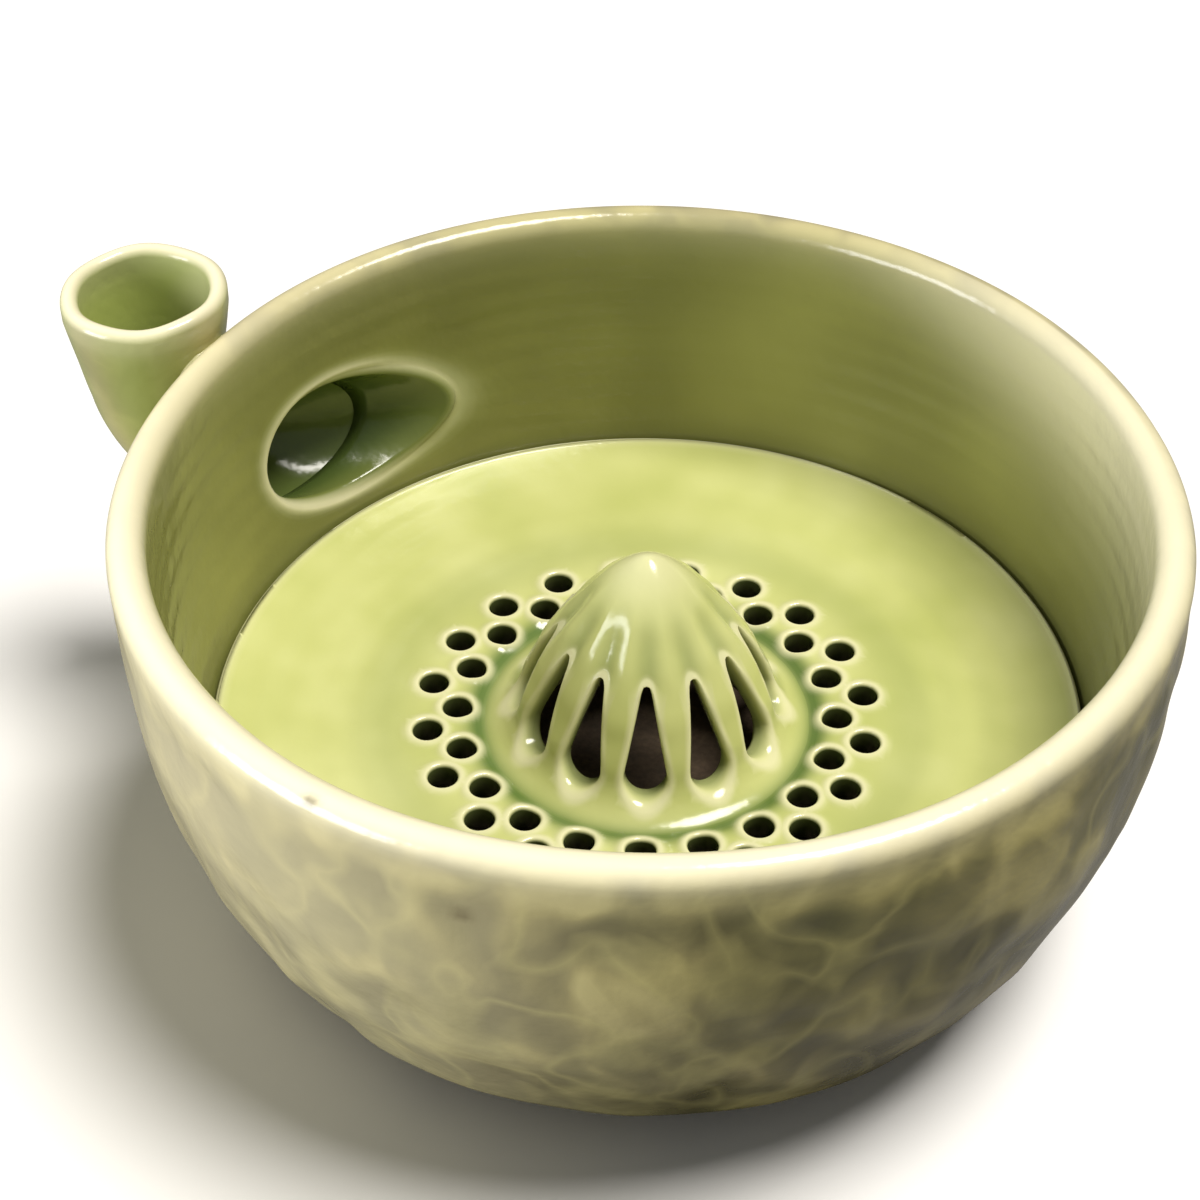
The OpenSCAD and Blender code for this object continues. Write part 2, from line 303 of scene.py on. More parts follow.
RIM_Z, LEDGE_R = BOWL_H - RIM_R, LEDGE_IN + LEDGE_EASE
heel_turn = math.degrees(math.asin((UPRIGHT_Z - HEEL_Z) / (BELLY_R - HEEL_R)))
ledge_turn = math.degrees(math.asin((UPRIGHT_Z - LEDGE_Z) / (BELLY_R - WALL)))
bowl_line = Profile(
    np.linspace((NEAR_AXIS, UNDER_Z), (HEEL_X, UNDER_Z), 60),
    arc_points(HEEL_X, HEEL_Z, HEEL_R, -90, -heel_turn, 60),
    arc_points(BELLY_X, UPRIGHT_Z, BELLY_R, -heel_turn, 0, 120),
    np.linspace((BOWL_R, UPRIGHT_Z), (BOWL_R, RIM_Z), 20),
    arc_points(BOWL_R - RIM_R, RIM_Z, RIM_R, 0, 180, 40),
    np.linspace((BOWL_R - WALL, RIM_Z), (BOWL_R - WALL, UPRIGHT_Z), 20),
    arc_points(BELLY_X, UPRIGHT_Z, BELLY_R - WALL, 0, -ledge_turn, 90),
    np.linspace((LEDGE_OUT, LEDGE_Z), (LEDGE_R, LEDGE_Z), 12),
    arc_points(LEDGE_R, LEDGE_Z - LEDGE_EASE, LEDGE_EASE, 90, 180, 8),
    np.linspace((LEDGE_IN, LEDGE_Z - LEDGE_EASE), (LEDGE_IN, WELL_Z + WELL_R), 12),
    arc_points(LEDGE_IN - WELL_R, WELL_Z + WELL_R, WELL_R, 0, -90, 24),
    np.linspace((LEDGE_IN - WELL_R, WELL_Z), (NEAR_AXIS, WELL_Z), 60))
print("the profile is", round(bowl_line.along[-1]), "mm long")

# %% [markdown]
# ## Skins with openings
# A Boolean would leave sharp, ragged edges that glaze never has. Here a block of the grid's cells
# is left out instead, its border is laid on the outline of the opening, and the grid round it
# relaxes like a net. A rounded lip then joins the border on the skin's front to the one on its
# back, so the piece stays closed.

# %% Helpers for soft shapes and grids
def bump(distance, reach):
    """Soft hill: 1 at no distance, falling off as a bell curve."""
    return np.exp(-(distance / reach) ** 2)


def smooth_step(low, high, value):
    """0 below low, 1 above high, with an even curve between."""
    share = np.clip((value - low) / (high - low), 0, 1)
    return share * share * (3 - 2 * share)


def wrapped(angle):
    """The same angle, given between minus and plus half a turn."""
    return np.angle(np.exp(1j * angle))


def around(r, turn, z):
    """Points from radius, turn and height."""
    return np.stack(np.broadcast_arrays(r * np.cos(turn), r * np.sin(turn), z), -1)


def quarter(steps):
    """Even steps of a quarter turn: the turn, its sine, and one less its cosine."""
    return [(q, math.sin(q), 1 - math.cos(q)) for q in np.linspace(0, math.pi / 2, steps + 1)[1:]]


def new_grid(s_rows, turn_cols):
    """A grid of distances and turns, with no point fixed and no cell left out yet."""
    shape = len(s_rows), len(turn_cols)
    net = np.stack(np.meshgrid(s_rows, turn_cols, indexing="ij"), -1)
    return net, np.zeros(shape, bool), np.zeros((shape[0] - 1, shape[1]), bool)


def leave_out(fixed, left_out, row, col, half_rows, half_cols):
    """Leaves out a block of cells about a row and column, and fixes its points.

    Gives the rows and columns round it, once round, with the angle of each from its middle."""
    r0, r1, c0, c1 = row - half_rows, row + half_rows, col - half_cols, col + half_cols
    fixed[r0:r1 + 1, np.arange(c0, c1 + 1) % fixed.shape[1]] = True
    left_out[r0:r1, np.arange(c0, c1) % fixed.shape[1]] = True
    rows = np.r_[np.full(c1 - c0, r0), r0:r1, np.full(c1 - c0, r1), r1:r0:-1]
    cols = np.r_[c0:c1, np.full(r1 - r0, c1), c1:c0:-1, np.full(r1 - r0, c0)]
    return rows, cols, np.arctan2((rows - row) / (2 * half_rows), (cols - col) / (2 * half_cols))


def flipped(angle, wanted):
    """A border's angles, read upside down where the rows run the other way."""
    return np.arctan2(-np.sin(angle), np.cos(angle)) if wanted else angle


def lay(net, rows, cols, s, turn):
    """Lays a border's points at distances and turns. Returns their places in the grid."""
    cols_in = cols % net.shape[1]
    net[rows, cols_in, 0] = s
    net[rows, cols_in, 1] = turn + np.where(cols < 0, FULL_TURN, 0)
    return rows, cols_in


def relax(net, fixed, rounds, width):
    """Settles a net of points, given as distance and turn; width turns the turn into millimetres.

    In each round a free point goes 70% of the way to a mean of its neighbours: first the plain
    mean of four, then one weighed by the squared lengths of the cell across, less the share of
    its skew, which keeps the net from folding over the edge of an opening."""
    net = net * [1.0, width]
    held = fixed[1:-1, 1:-1, None]
    for k in range(rounds):
        up, down, left, right = net[2:, 1:-1], net[:-2, 1:-1], net[1:-1, :-2], net[1:-1, 2:]
        if k < rounds // 4:
            mean = (up + down + left + right) / 4
        else:
            rise, run = (up - down) / 2, (right - left) / 2
            a = np.sum(run ** 2, -1, keepdims=True)
            b = np.sum(rise * run, -1, keepdims=True)
            c = np.sum(rise ** 2, -1, keepdims=True)
            twist = (net[2:, 2:] - net[2:, :-2] - net[:-2, 2:] + net[:-2, :-2]) / 2
            mean = (a * (up + down) + c * (left + right) - b * twist) / (2 * (a + c))
        net[1:-1, 1:-1] = np.where(held, net[1:-1, 1:-1], 0.3 * net[1:-1, 1:-1] + 0.7 * mean)
    return net / [1.0, width]


def relax_ring(net, fixed, first, last, rounds, width, pad):
    """Relaxes rows of a grid that closes on itself, with a copied pad of columns at each end."""
    full = np.array([0, FULL_TURN])
    part = np.concatenate([net[first:last, -pad:] - full, net[first:last], net[first:last, :pad] + full], 1)
    held = np.concatenate([fixed[first:last, -pad:], fixed[first:last], fixed[first:last, :pad]], 1)
    net[first:last] = relax(part, held, rounds, width)[:, pad:-pad]


def in_step(first, second):
    """Order that reads a second border in the sense of the first, and from the same place."""
    senses = [np.sign(wrapped(angle[1] - angle[0])) for angle in (first, second)]
    start = int(np.argmin(abs(wrapped(second - first[0]))))
    return (start + int(senses[0] * senses[1]) * np.arange(len(second))) % len(second)


print("a quarter turn in steps:", [round(q, 2) for q, _, _ in quarter(4)])

# %% [markdown]
# ## From a grid to a mesh
# One class keeps a grid's points, faces and marks, takes lips and caps, and makes the piece at
# the end. The sign of the volume tells whether the faces point outwards, and a closed skin has
# two faces at every edge. Both are quick to count, and they catch a face turned or left out.

# %% A skin that becomes a mesh
def grid_faces(ids):
    """Faces of four corners over a grid of point numbers, with the last column joined to the first."""
    ids = np.concatenate([ids, ids[:, :1]], 1)
    return np.stack([ids[:-1, :-1], ids[:-1, 1:], ids[1:, 1:], ids[1:, :-1]], -1)


def edges_of(faces):
    """The two ends of each face's edges, in the sense in which the face runs along them."""
    return np.stack([faces, np.roll(faces, -1, axis=1)], -1)


def volume_of(points, faces):
    """Volume within a closed skin: the sum of the pyramids from the origin to each triangle."""
    three = np.array([f[:3] for f in faces] + [(f[0], f[2], f[3]) for f in faces if len(f) == 4])
    a, b, c = (points[three[:, k]] for k in range(3))
    return float(np.einsum("ij,ij->i", a, np.cross(b, c)).sum() / 6)


class Skin:
    """A grid of points with openings, lips that lead through them, caps, and marks at the points."""

    def __init__(self, points, marks=None, left_out=None, ring=False, bare_rows=None):
        """With ring set, the last row joins the first. Faces of bare rows take the second finish."""
        self.ids = np.arange(points[..., 0].size).reshape(points.shape[:2])
        quads = grid_faces(np.concatenate([self.ids, self.ids[:1]]) if ring else self.ids)
        keep = np.ones(quads.shape[:2], bool)
        if left_out is not None:
            keep[:len(left_out)] = ~left_out
        finish = np.zeros(keep.shape, int)
        if bare_rows is not None:
            finish += bare_rows[:, None]
        self.points, self.faces, self.finish = [points.reshape(-1, 3)], [quads[keep]], [finish[keep]]
        self.marks = {key: [np.broadcast_to(v, points.shape[:2]).ravel()] for key, v in (marks or {}).items()}

    def add(self, points, faces, marks, finish):
        """Adds points with their marks, none where a mark isn't given, and faces of one finish."""
        self.points.append(points)
        self.faces.append(faces)
        self.finish.append(np.full(len(faces), finish))
        for key, values in self.marks.items():
            values.append(np.ravel(marks.get(key, np.zeros(len(points)))))

    def lead_through(self, front, back, rings, marks):
        """Joins a loop of points on the front to one on the back over rings; marks are kept ring by ring."""
        start, shape = sum(map(len, self.points)), (len(rings), len(front))
        between_ids = start + np.arange(shape[0] * shape[1]).reshape(shape)
        loops = np.concatenate([front[None], between_ids, back[None]])
        strip = grid_faces(loops).reshape(-1, 4)
        # the strip is turned round if it would run along a shared edge the same way as the skin
        codes = [edges_of(part) @ [10_000_000, 1] for part in (self.faces[0], strip)]
        if np.isin(codes[1], codes[0]).any():
            strip = strip[:, ::-1]
        marks = {key: np.broadcast_to(np.reshape(v, (shape[0], -1)), shape) for key, v in marks.items()}
        self.add(np.concatenate(rings), strip, marks, 0)

    def cap(self, loop, tip, marks=None, finish=0):
        """Closes a loop of point numbers with a fan of triangles round a tip."""
        middle = np.full(len(loop), sum(map(len, self.points)))
        fan = np.stack([middle, loop, np.roll(loop, -1)], -1)
        self.add(np.array([tip], float), fan, marks or {}, finish)

    def piece(self, name, finishes):
        """The mesh of all the faces, with its normals outwards and the points that no face uses left out."""
        points = np.concatenate(self.points)
        used = np.zeros(len(points), bool)
        for part in self.faces:
            used[part.ravel()] = True
        renumber, points = np.cumsum(used) - 1, points[used]
        faces = [renumber[part].tolist() for part in self.faces]
        faces = [face for part in faces for face in part]
        volume = volume_of(points, faces)
        if volume < 0:
            faces = [face[::-1] for face in faces]
        mesh = bpy.data.meshes.new(name)
        mesh.from_pydata((points * MM).tolist(), [], faces)
        for finish in finishes:
            mesh.materials.append(finish)
        mesh.polygons.foreach_set("material_index", np.concatenate(self.finish).astype(np.int32))
        mesh.polygons.foreach_set("use_smooth", np.ones(len(mesh.polygons), bool))
        for key, values in self.marks.items():
            layer = mesh.attributes.new(key, "FLOAT", "POINT")
            layer.data.foreach_set("value", np.clip(np.concatenate(values)[used].astype(np.float32), 0, 1))
        mesh.validate()
        mesh.update()
        made = bpy.data.objects.new(name, mesh)
        bpy.context.collection.objects.link(made)
        pairs = np.concatenate([edges_of(part).reshape(-1, 2) for part in self.faces])
        counts = np.unique(np.sort(pairs, 1), axis=0, return_counts=True)[1]
        print(name, "has", sum(len(f) - 2 for f in faces), "triangles,", int((counts != 2).sum()),
              "open edges and", round(abs(volume) * MM, 1), "millilitres")
        return made


print("helpers are ready")

# %% [markdown]
# ## The port in the bowl's wall
# Water enters through a bored port that slants by 38 degrees, so that it swirls. Its outline on a
# round wall is a bent oval. Each point of it lies on a line beside the port's axis, and where
# that line meets the wall is a quadratic equation.

# %% Where the port's lines meet the wall
CUP_X, PORT_Z, PORT_R, LIP, LIP_RISE = -128.0, 62.5, 13.5, 2.6, 0.8
SWIRL = math.radians(38)
along_axis = np.array([math.cos(SWIRL), math.sin(SWIRL)])
across_axis = np.array([-math.sin(SWIRL), math.cos(SWIRL)])


def beside_axis(side):
    """Where lines beside the port's axis start, in plan."""
    return np.array([CUP_X, 0.0]) + side[..., None] * across_axis


def reach_of(side, wall_r):
    """Way along such lines to a wall of the given radii: the near root of a quadratic."""
    start = beside_axis(side)
    b = start @ along_axis
    c = np.sum(start ** 2, -1) - wall_r ** 2
    return -b - np.sqrt(np.maximum(b * b - c, 0))


def on_line(side, up, t):
    """Points a way t along lines beside and above the port's axis."""
    xy = beside_axis(side) + t[..., None] * along_axis
    return np.concatenate([xy, (PORT_Z + up)[..., None]], -1)


def port_point(angle, radius, depth):
    """Points round the port's axis at a depth in the wall, and their ways along the axis."""
    side, up = -radius * np.cos(angle), radius * np.sin(angle)
    t = reach_of(side, wall_radius(PORT_Z + up, depth))
    return on_line(side, up, t), t


def port_lip(points):
    """How near points are to the port's lip, and how far it stands up: most at the camera's left."""
    away = np.hypot((points[..., :2] - [CUP_X, 0.0]) @ across_axis, points[..., 2] - PORT_Z)
    across = (points[..., 0] + 88.5) * math.cos(TURN) + (points[..., 1] - 35.0) * math.sin(TURN)
    return bump(np.maximum(away - PORT_R - LIP, 0), 2.0), 1 - 0.75 * smooth_step(-12, 14, across)


def lifted(points, near, share):
    """Points with the port's lip raised towards the bowl's axis."""
    return points - around(LIP_RISE * near * share, np.arctan2(points[..., 1], points[..., 0]), 0)


edge = port_point(np.linspace(0, FULL_TURN, 60), np.full(60, PORT_R), WALL)[0]
print("the port is", round(float(np.hypot(*np.ptp(edge[:, :2], axis=0)))), "mm long inside")

# %% [markdown]
# ## The thrown bowl
# The outer wall was pinched by hand below its smooth rim, which leaves shallow hollows 12 to 20
# mm wide with soft ridges between them. The light catches their real slopes, so they are pushed
# into the skin. The inner wall keeps faint throwing rings.

# %% Lay out the bowl's grid
TURNS, FOOT_START_R = 540, 60.0


def spaced(start, end, step):
    """Evenly spaced distances between two ends, about a step apart, without the last."""
    return np.linspace(start, end, max(2, int(round((end - start) / step)) + 1))[:-1]


places = ((FOOT_START_R, UNDER_Z), (HEEL_X, UNDER_Z), (BOWL_R, RIM_Z), (BOWL_R - RIM_R, BOWL_H),
          (BOWL_R - WALL, RIM_Z), (LEDGE_OUT, LEDGE_Z), (LEDGE_IN, LEDGE_Z - LEDGE_EASE),
          (LEDGE_IN - WELL_R, WELL_Z))
s_foot, s_heel, s_rim_out, s_rim_top, s_rim_in, s_ledge, s_well_top, s_well_low = (
    bowl_line.find(*place) for place in places)
ends = (0, s_foot, s_heel, s_rim_out, s_rim_in, s_ledge, s_well_top, s_well_low)
steps = (7, 2.6, 1.75, 0.9, 1.7, 1.1, 2.4)
last_rows = np.linspace(s_well_low, bowl_line.along[-1], 14)
s_rows = np.concatenate([*map(spaced, ends, ends[1:], steps), last_rows])
# the seam lies on the far side from the spout, so that the port's window doesn't cross it
turn_cols = np.linspace(-np.pi, np.pi, TURNS, endpoint=False) - np.pi
grid, fixed, left_out = new_grid(s_rows, turn_cols)
print("grid of", grid.shape[0], "rows and", grid.shape[1], "columns")

# %% [markdown]
# ## The port's window in the grid
# A block as tall and wide as the port is left out on each face of the wall. Its border goes to a
# square with well rounded corners, which suits rows and columns better than a circle, and rings
# lead from there to the round edge.

# %% Open the port on both faces of the wall
HALF_ROWS, HALF_COLS, ROUNDS, NET_WIDTH = 11, 28, 800, 100.0
SPARE_ROWS, SPARE_COLS = 9, 30
WIDE_IN, WIDE_OUT = 20.0, 17.5


def squarish(radius, angle):
    """Distance to the edge of a square with well rounded corners, at an angle from its middle."""
    return radius / (np.cos(angle) ** 4 + np.sin(angle) ** 4) ** 0.25


def open_port(depth, radius, s_low, s_high):
    """Lays a block's border on a rounded square round the port on one face, and relaxes round it."""
    middle = port_point(np.zeros(1), np.zeros(1), depth)[0][0]
    mid_turn = math.atan2(middle[1], middle[0])
    mid_turn += FULL_TURN * round((turn_cols.mean() - mid_turn) / FULL_TURN)
    ring = np.linspace(0, FULL_TURN, 200)
    edge = port_point(ring, squarish(radius, ring), depth)[0]
    off = wrapped(np.arctan2(edge[:, 1], edge[:, 0]) - mid_turn)
    col = int(np.argmin(abs(turn_cols - mid_turn - (off.min() + off.max()) / 2)))
    band = np.where((s_rows >= s_low) & (s_rows <= s_high))[0]
    z_rows = bowl_line.at(s_rows[band])[1]
    row = int(band[np.argmin(abs(z_rows - PORT_Z))])
    rows, cols, angle = leave_out(fixed, left_out, row, col, HALF_ROWS, HALF_COLS)
    # on the outer face heights rise with the rows, and on the inner face they fall; turns
    # grow towards the -Y side when seen at -X, which is the side of a negative cosine
    round_angle = flipped(angle, depth > 0)
    outline = port_point(round_angle, squarish(radius, angle), depth)[0]
    order = np.argsort(z_rows)
    s_new = np.interp(outline[:, 2], z_rows[order], s_rows[band][order])
    turn_new = np.unwrap(np.arctan2(outline[:, 1], outline[:, 0]))
    turn_new += FULL_TURN * np.round((mid_turn - turn_new.mean()) / FULL_TURN)
    lay(grid, rows, cols, s_new, turn_new)
    window = (slice(max(row - HALF_ROWS - SPARE_ROWS, band[0]),
                    min(row + HALF_ROWS + SPARE_ROWS, band[-1]) + 1),
              slice(col - HALF_COLS - SPARE_COLS, col + HALF_COLS + SPARE_COLS + 1))
    grid[window] = relax(grid[window], fixed[window], ROUNDS, NET_WIDTH)
    print("port edge spans", np.round(np.degrees([off.min(), off.max()])), "degrees")
    return rows, cols, round_angle


rows_in, cols_in, angle_in = open_port(WALL, WIDE_IN, s_rim_in, s_ledge)
rows_out, cols_out, angle_out = open_port(0.0, WIDE_OUT, s_heel, s_rim_out)
print("port border of", len(rows_in), "points on each face")

# %% [markdown]
# ## Finger marks, throwing rings and the sway of the rim
# Each point is measured to seeded middles. A hollow is a bell curve of the nearest distance. On a
# ridge the nearest two are equally far, so it is a bell curve of their difference. A few waves
# round the wheel's axis make the rim uneven.

# %% Turn the grid into the bowl's skin
MARKS, MARK_SEED, WALL_MID_R, HOLLOW_MM, RIDGE_MM = 230, 11, 98, 6.5, 3.6
THROW_MM, WELL_THROW_MM = 6.5, 4.6


def pinched(turn, s, low, high):
    """Finger hollows and the soft ridges between them, each from 0 to 1."""
    dice = np.random.default_rng(MARK_SEED)
    middles = zip(*(dice.uniform(*ends, MARKS) for ends in ((0, FULL_TURN), (low, high), (0.25, 1.0))))
    bend = 2.2 * np.sin(7 * turn + s / 7) + 1.6 * np.sin(17 * turn - s / 5)
    first, second = np.full((2, *turn.shape), 99.0)
    depth = np.zeros(turn.shape)
    for c, h, d in middles:
        side = (np.mod(turn - c + np.pi, FULL_TURN) - np.pi) * WALL_MID_R + bend
        away = np.hypot(side + 0.35 * (s - h), 0.75 * (s - h + 0.6 * bend))
        second = np.minimum(second, np.maximum(first, away))
        depth = np.where(away < first, d, depth)
        first = np.minimum(first, away)
    patchy = 0.55 + 0.45 * np.sin(5 * turn + s / 11 + 2 * np.sin(3 * turn + s / 17))
    return depth * bump(first, HOLLOW_MM), patchy * bump(second - first, RIDGE_MM)


def softened(values, rounds):
    """Each point takes the mean with its neighbours along the wall and round it, a few times over."""
    for _ in range(rounds):
        values = (2 * values + np.roll(values, 1, 1) + np.roll(values, -1, 1)) / 4
        values[1:-1] = (2 * values[1:-1] + values[:-2] + values[2:]) / 4
    return values


def between(low, high, ease_low, ease_high, value):
    """1 between low and high, with an even curve to 0 outside."""
    return smooth_step(low, low + ease_low, value) * (1 - smooth_step(high - ease_high, high, value))


def waves(turn, *terms):
    """Sum of waves round an axis, each with a height, a number to the turn, and a start."""
    return sum(tall * np.sin(number * turn + start) for tall, number, start in terms)


s_grid, turn_grid = grid[..., 0], grid[..., 1]
radius, height = bowl_line.at(s_grid)
out_r, out_z = bowl_line.normal(s_grid)
wall_share = between(s_heel + 6, s_rim_out - 2, 16, 9, s_grid)
dent, ridge = pinched(turn_grid, s_grid, s_heel - 8, s_rim_out + 4)
push = -wall_share * softened(1.35 * dent - 0.85 * ridge - 0.11, 5)
inner_share = between(s_rim_in, s_ledge - 1, 8, 5, s_grid)
push += inner_share * 0.12 * np.sin(FULL_TURN * (s_grid + 1.2 * np.sin(turn_grid)) / THROW_MM)
well_share = smooth_step(s_well_low - 12, s_well_low, s_grid)
push += well_share * 0.22 * np.sin(FULL_TURN * (radius + 0.8 * np.sin(turn_grid + 1)) / WELL_THROW_MM)
radius, height = radius + out_r * push, height + out_z * push
rim_share = smooth_step(70, 101, height)
radius = radius + rim_share * waves(turn_grid, (0.35, 2, 0.6), (0.2, 3, 2.0), (0.1, 7, 0.0))
height = height + rim_share * waves(turn_grid, (0.3, 2, 2.4), (0.15, 5, 1.0))
plain_skin = around(radius, turn_grid, height)
near, near_share = port_lip(plain_skin)
near_port = np.where((plain_skin[..., 0] < -60) & (s_grid > s_rim_in) & (s_grid < s_ledge), near, 0.0)
skin = lifted(plain_skin, near_port, near_share)
print("wall pushed between", round(float(push.min()), 2), "and", round(float(push.max()), 2), "mm")

# %% [markdown]
# ## The port's lip, and the bowl as one closed piece
# Rings lead from the inner border to the port's edge, where the lip rolls over in a quarter
# round, and a bore joins it to the border on the outer face, which the spout covers. The ends of
# the profile close in fans on the axis.

# %% The rings through the wall
LIP_STEPS, NEAR_SHARES = 7, (0.85, 0.7, 0.54, 0.38, 0.24, 0.12, 0.0)


def rings_round(border, angle, wide, narrow, depth, shares):
    """Rings from a rounded square border in to the port's round edge, keeping the border's relief."""
    edge = squarish(wide, angle)
    relief = border - port_point(angle, edge, depth)[0]
    return [port_point(angle, narrow + w * (edge - narrow), depth)[0] + w * relief for w in shares]


def bore_ring(angle, radius, t):
    """A ring of one radius round the port's axis, its points at the given ways along it."""
    return on_line(-radius * np.cos(angle), radius * np.sin(angle), t)


n_loop = len(angle_in)
order_out = in_step(angle_in, angle_out)
rows_out, cols_out, angle_out = rows_out[order_out], cols_out[order_out], angle_out[order_out]
t_in = port_point(angle_in, np.full(n_loop, PORT_R + LIP), WALL)[1]
t_out = port_point(angle_out, np.full(n_loop, PORT_R), 0.0)[1]
near_rings = rings_round(plain_skin[rows_in, cols_in], angle_in, WIDE_IN, PORT_R + LIP, WALL, NEAR_SHARES)
lip_near = [port_lip(ring) for ring in near_rings]
strips = [lifted(ring, *lip) for ring, lip in zip(near_rings, lip_near)]
rise = LIP_RISE * lip_near[-1][1]
for q, sine, drop in quarter(LIP_STEPS):
    strips.append(bore_ring(angle_in, PORT_R + LIP * (1 - sine), t_in + rise * (1 - q / 1.6) - LIP * drop))
for share in (0.2, 0.4, 0.6, 0.8, 1.0):
    mixed = angle_in + share * wrapped(angle_out - angle_in)
    strips.append(bore_ring(mixed, PORT_R, (t_in - LIP) * (1 - share) + t_out * share))
strips += rings_round(skin[rows_out, cols_out], angle_out, WIDE_OUT, PORT_R, 0.0, (0.3, 0.65))
print(len(strips), "rings lead through the wall")

# %% [markdown]
# ## Where the glaze is thin, pooled or painted lit
# Glaze is thin on the rim's roll and on the port's lip. The rim's cream is painted stronger on the
# side facing the camera, a painted highlight, and inside it reaches further down, most of all to
# the right, where the extra is a painted lit side. Glaze gathers above the ledge, in the hollows
# and in a band under the rim; in the port's bore the pool is pooled glaze and painted shade.

# %% Keep the marks and build the bowl
SPECKS = (((-9.5, -108.2, 100.6), 1.5), ((21.0, -107.4, 86.4), 2.0))

hollow = softened(np.clip(0.5 + 0.5 * dent - 0.5 * ridge, 0, 1), 2)
hollow = np.clip(hollow + 0.42 * bump(s_grid - (s_rim_out - 9), 6.5) * (s_grid < s_rim_out + 4), 0, 1)
# painted light: the rim's cream is painted strongest on the side facing the camera, a painted highlight, and
# the inside is painted paler on the right, a painted lit side
camera_side_painted_highlight = smooth_step(-0.8, 0.3, np.cos(turn_grid + 1.05))
right_side_painted_light = smooth_step(0.2, 1.0, np.cos(turn_grid - 0.35))
below_rim = np.maximum(s_grid - s_rim_top, 0)
# on the inside the thin glaze reaches further down; the further reach on the right is a painted lit side
thin = np.maximum.reduce([
    (0.25 + 0.75 * camera_side_painted_highlight) * bump(s_grid - s_rim_top, 5.5),
    (s_grid > s_rim_top) * (0.24 + 0.66 * right_side_painted_light) * bump(below_rim, 10 + 20 * right_side_painted_light),
    0.10 * smooth_step(s_rim_out - 8, s_rim_out - 1, s_grid) * (s_grid < s_rim_top),
    0.65 * near_port ** 2 * (0.3 + 0.7 * near_share)])
marks = {
    "thin": thin,
    "pool": 0.35 * smooth_step(s_ledge - 14, s_ledge - 2, s_grid) * (s_grid < s_ledge),
    "inside": smooth_step(s_rim_top - 2, s_rim_in + 3, s_grid),
    "speck": np.maximum.reduce([0.9 * bump(np.linalg.norm((skin - at) * [1, 1, 1.5], axis=-1), size)
                                for at, size in SPECKS]),
    # painted light: the wall is painted paler towards the camera's left, a painted lit side
    "painted_lit_side_and_streaks": smooth_step(0.0, 1.0, np.cos(turn_grid - math.radians(220))),
    "leaf": 0.35 * near_port,
    "hollow": hollow * wall_share}
near_thin = [0.65 * near ** 2 * (0.3 + 0.7 * share) for near, share in lip_near]
n_roll = len(strips) - len(near_rings)
# the last two rings lie on the outer face, round the spout's root
through = {
    "thin": near_thin + [near_thin[-1] * max(0.0, 1 - k / 5) for k in range(1, n_roll + 1)],
    # in the port's bore the pool mark is part pooled glaze and part painted shade
    "pool": [0] * len(near_rings) + [*np.linspace(0.15, 0.9, LIP_STEPS + 3), 0.95, 0.95, 0, 0],
    "inside": [1] * (len(strips) - 2) + [0, 0],
    "painted_lit_side_and_streaks": [0] * (len(strips) - 2) + [0.8, 0.8],
    "leaf": [0.35 * near for near, _ in lip_near] + [np.full(n_loop, 0.35)] * n_roll,
    "hollow": [0] * (len(strips) - 2) + [0.5, 0.5]}
# unglazed are the underside within the foot, the ledge's top and the well
bare_rows = (s_rows[:-1] < s_heel - 4) | (s_rows[:-1] > s_ledge - 1.5)
bowl_skin = Skin(skin, marks, left_out, bare_rows=bare_rows)
bowl_skin.lead_through(bowl_skin.ids[rows_in, cols_in], bowl_skin.ids[rows_out, cols_out], strips, through)
bowl_skin.cap(bowl_skin.ids[0][::-1], (0, 0, UNDER_Z), finish=1)
bowl_skin.cap(bowl_skin.ids[-1], (0, 0, WELL_Z), finish=1)
bowl = bowl_skin.piece("thrown_bowl", [celadon, clay])
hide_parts("bowl_body")
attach(bowl, "bowl")

# %% [markdown]
# ## The strainer plate
# The plate is a dished disc with 40 punched holes in two rings and a channel round the cone. The
# net has one column to a degree, and a hole's block is eight cells square. A hole is 6.4 mm wide,
# and its lip rounds over by 0.9 mm.

# %% The plate's profile and grid
PLATE_MID, PLATE_LOW, FLAT_R, EDGE_R, DISH = 38.0, 31.0, 54.7, 95.2, 5.0
MOAT_Z, MOAT_R, HOLE_R, HOLE_LIP, LOW_LIP = 36.8, 36.0, 3.2, 0.9, 0.6
RINGS, HOLE_STEP, HALF_HOLE, ROWS_APART = ((41.8, 9), (48.3, 0)), 18, 4, 9
BAND_IN, BAND_OUT = 38.6, 51.5


def dished(r, low):
    """Height of a dished face: flat in the middle, rising by 5 mm with the square of the way out."""
    return low + DISH * np.clip((r - FLAT_R) / (EDGE_R - FLAT_R), 0, 1) ** 2


def hole_outline(ring_r, turn, rho, angle):
    """Radius and turn of points at a distance rho round a hole's middle, which is in plan."""
    radial, side = ring_r + rho * np.sin(angle), rho * np.cos(angle)
    return np.hypot(radial, side), turn + np.arctan2(side, radial)


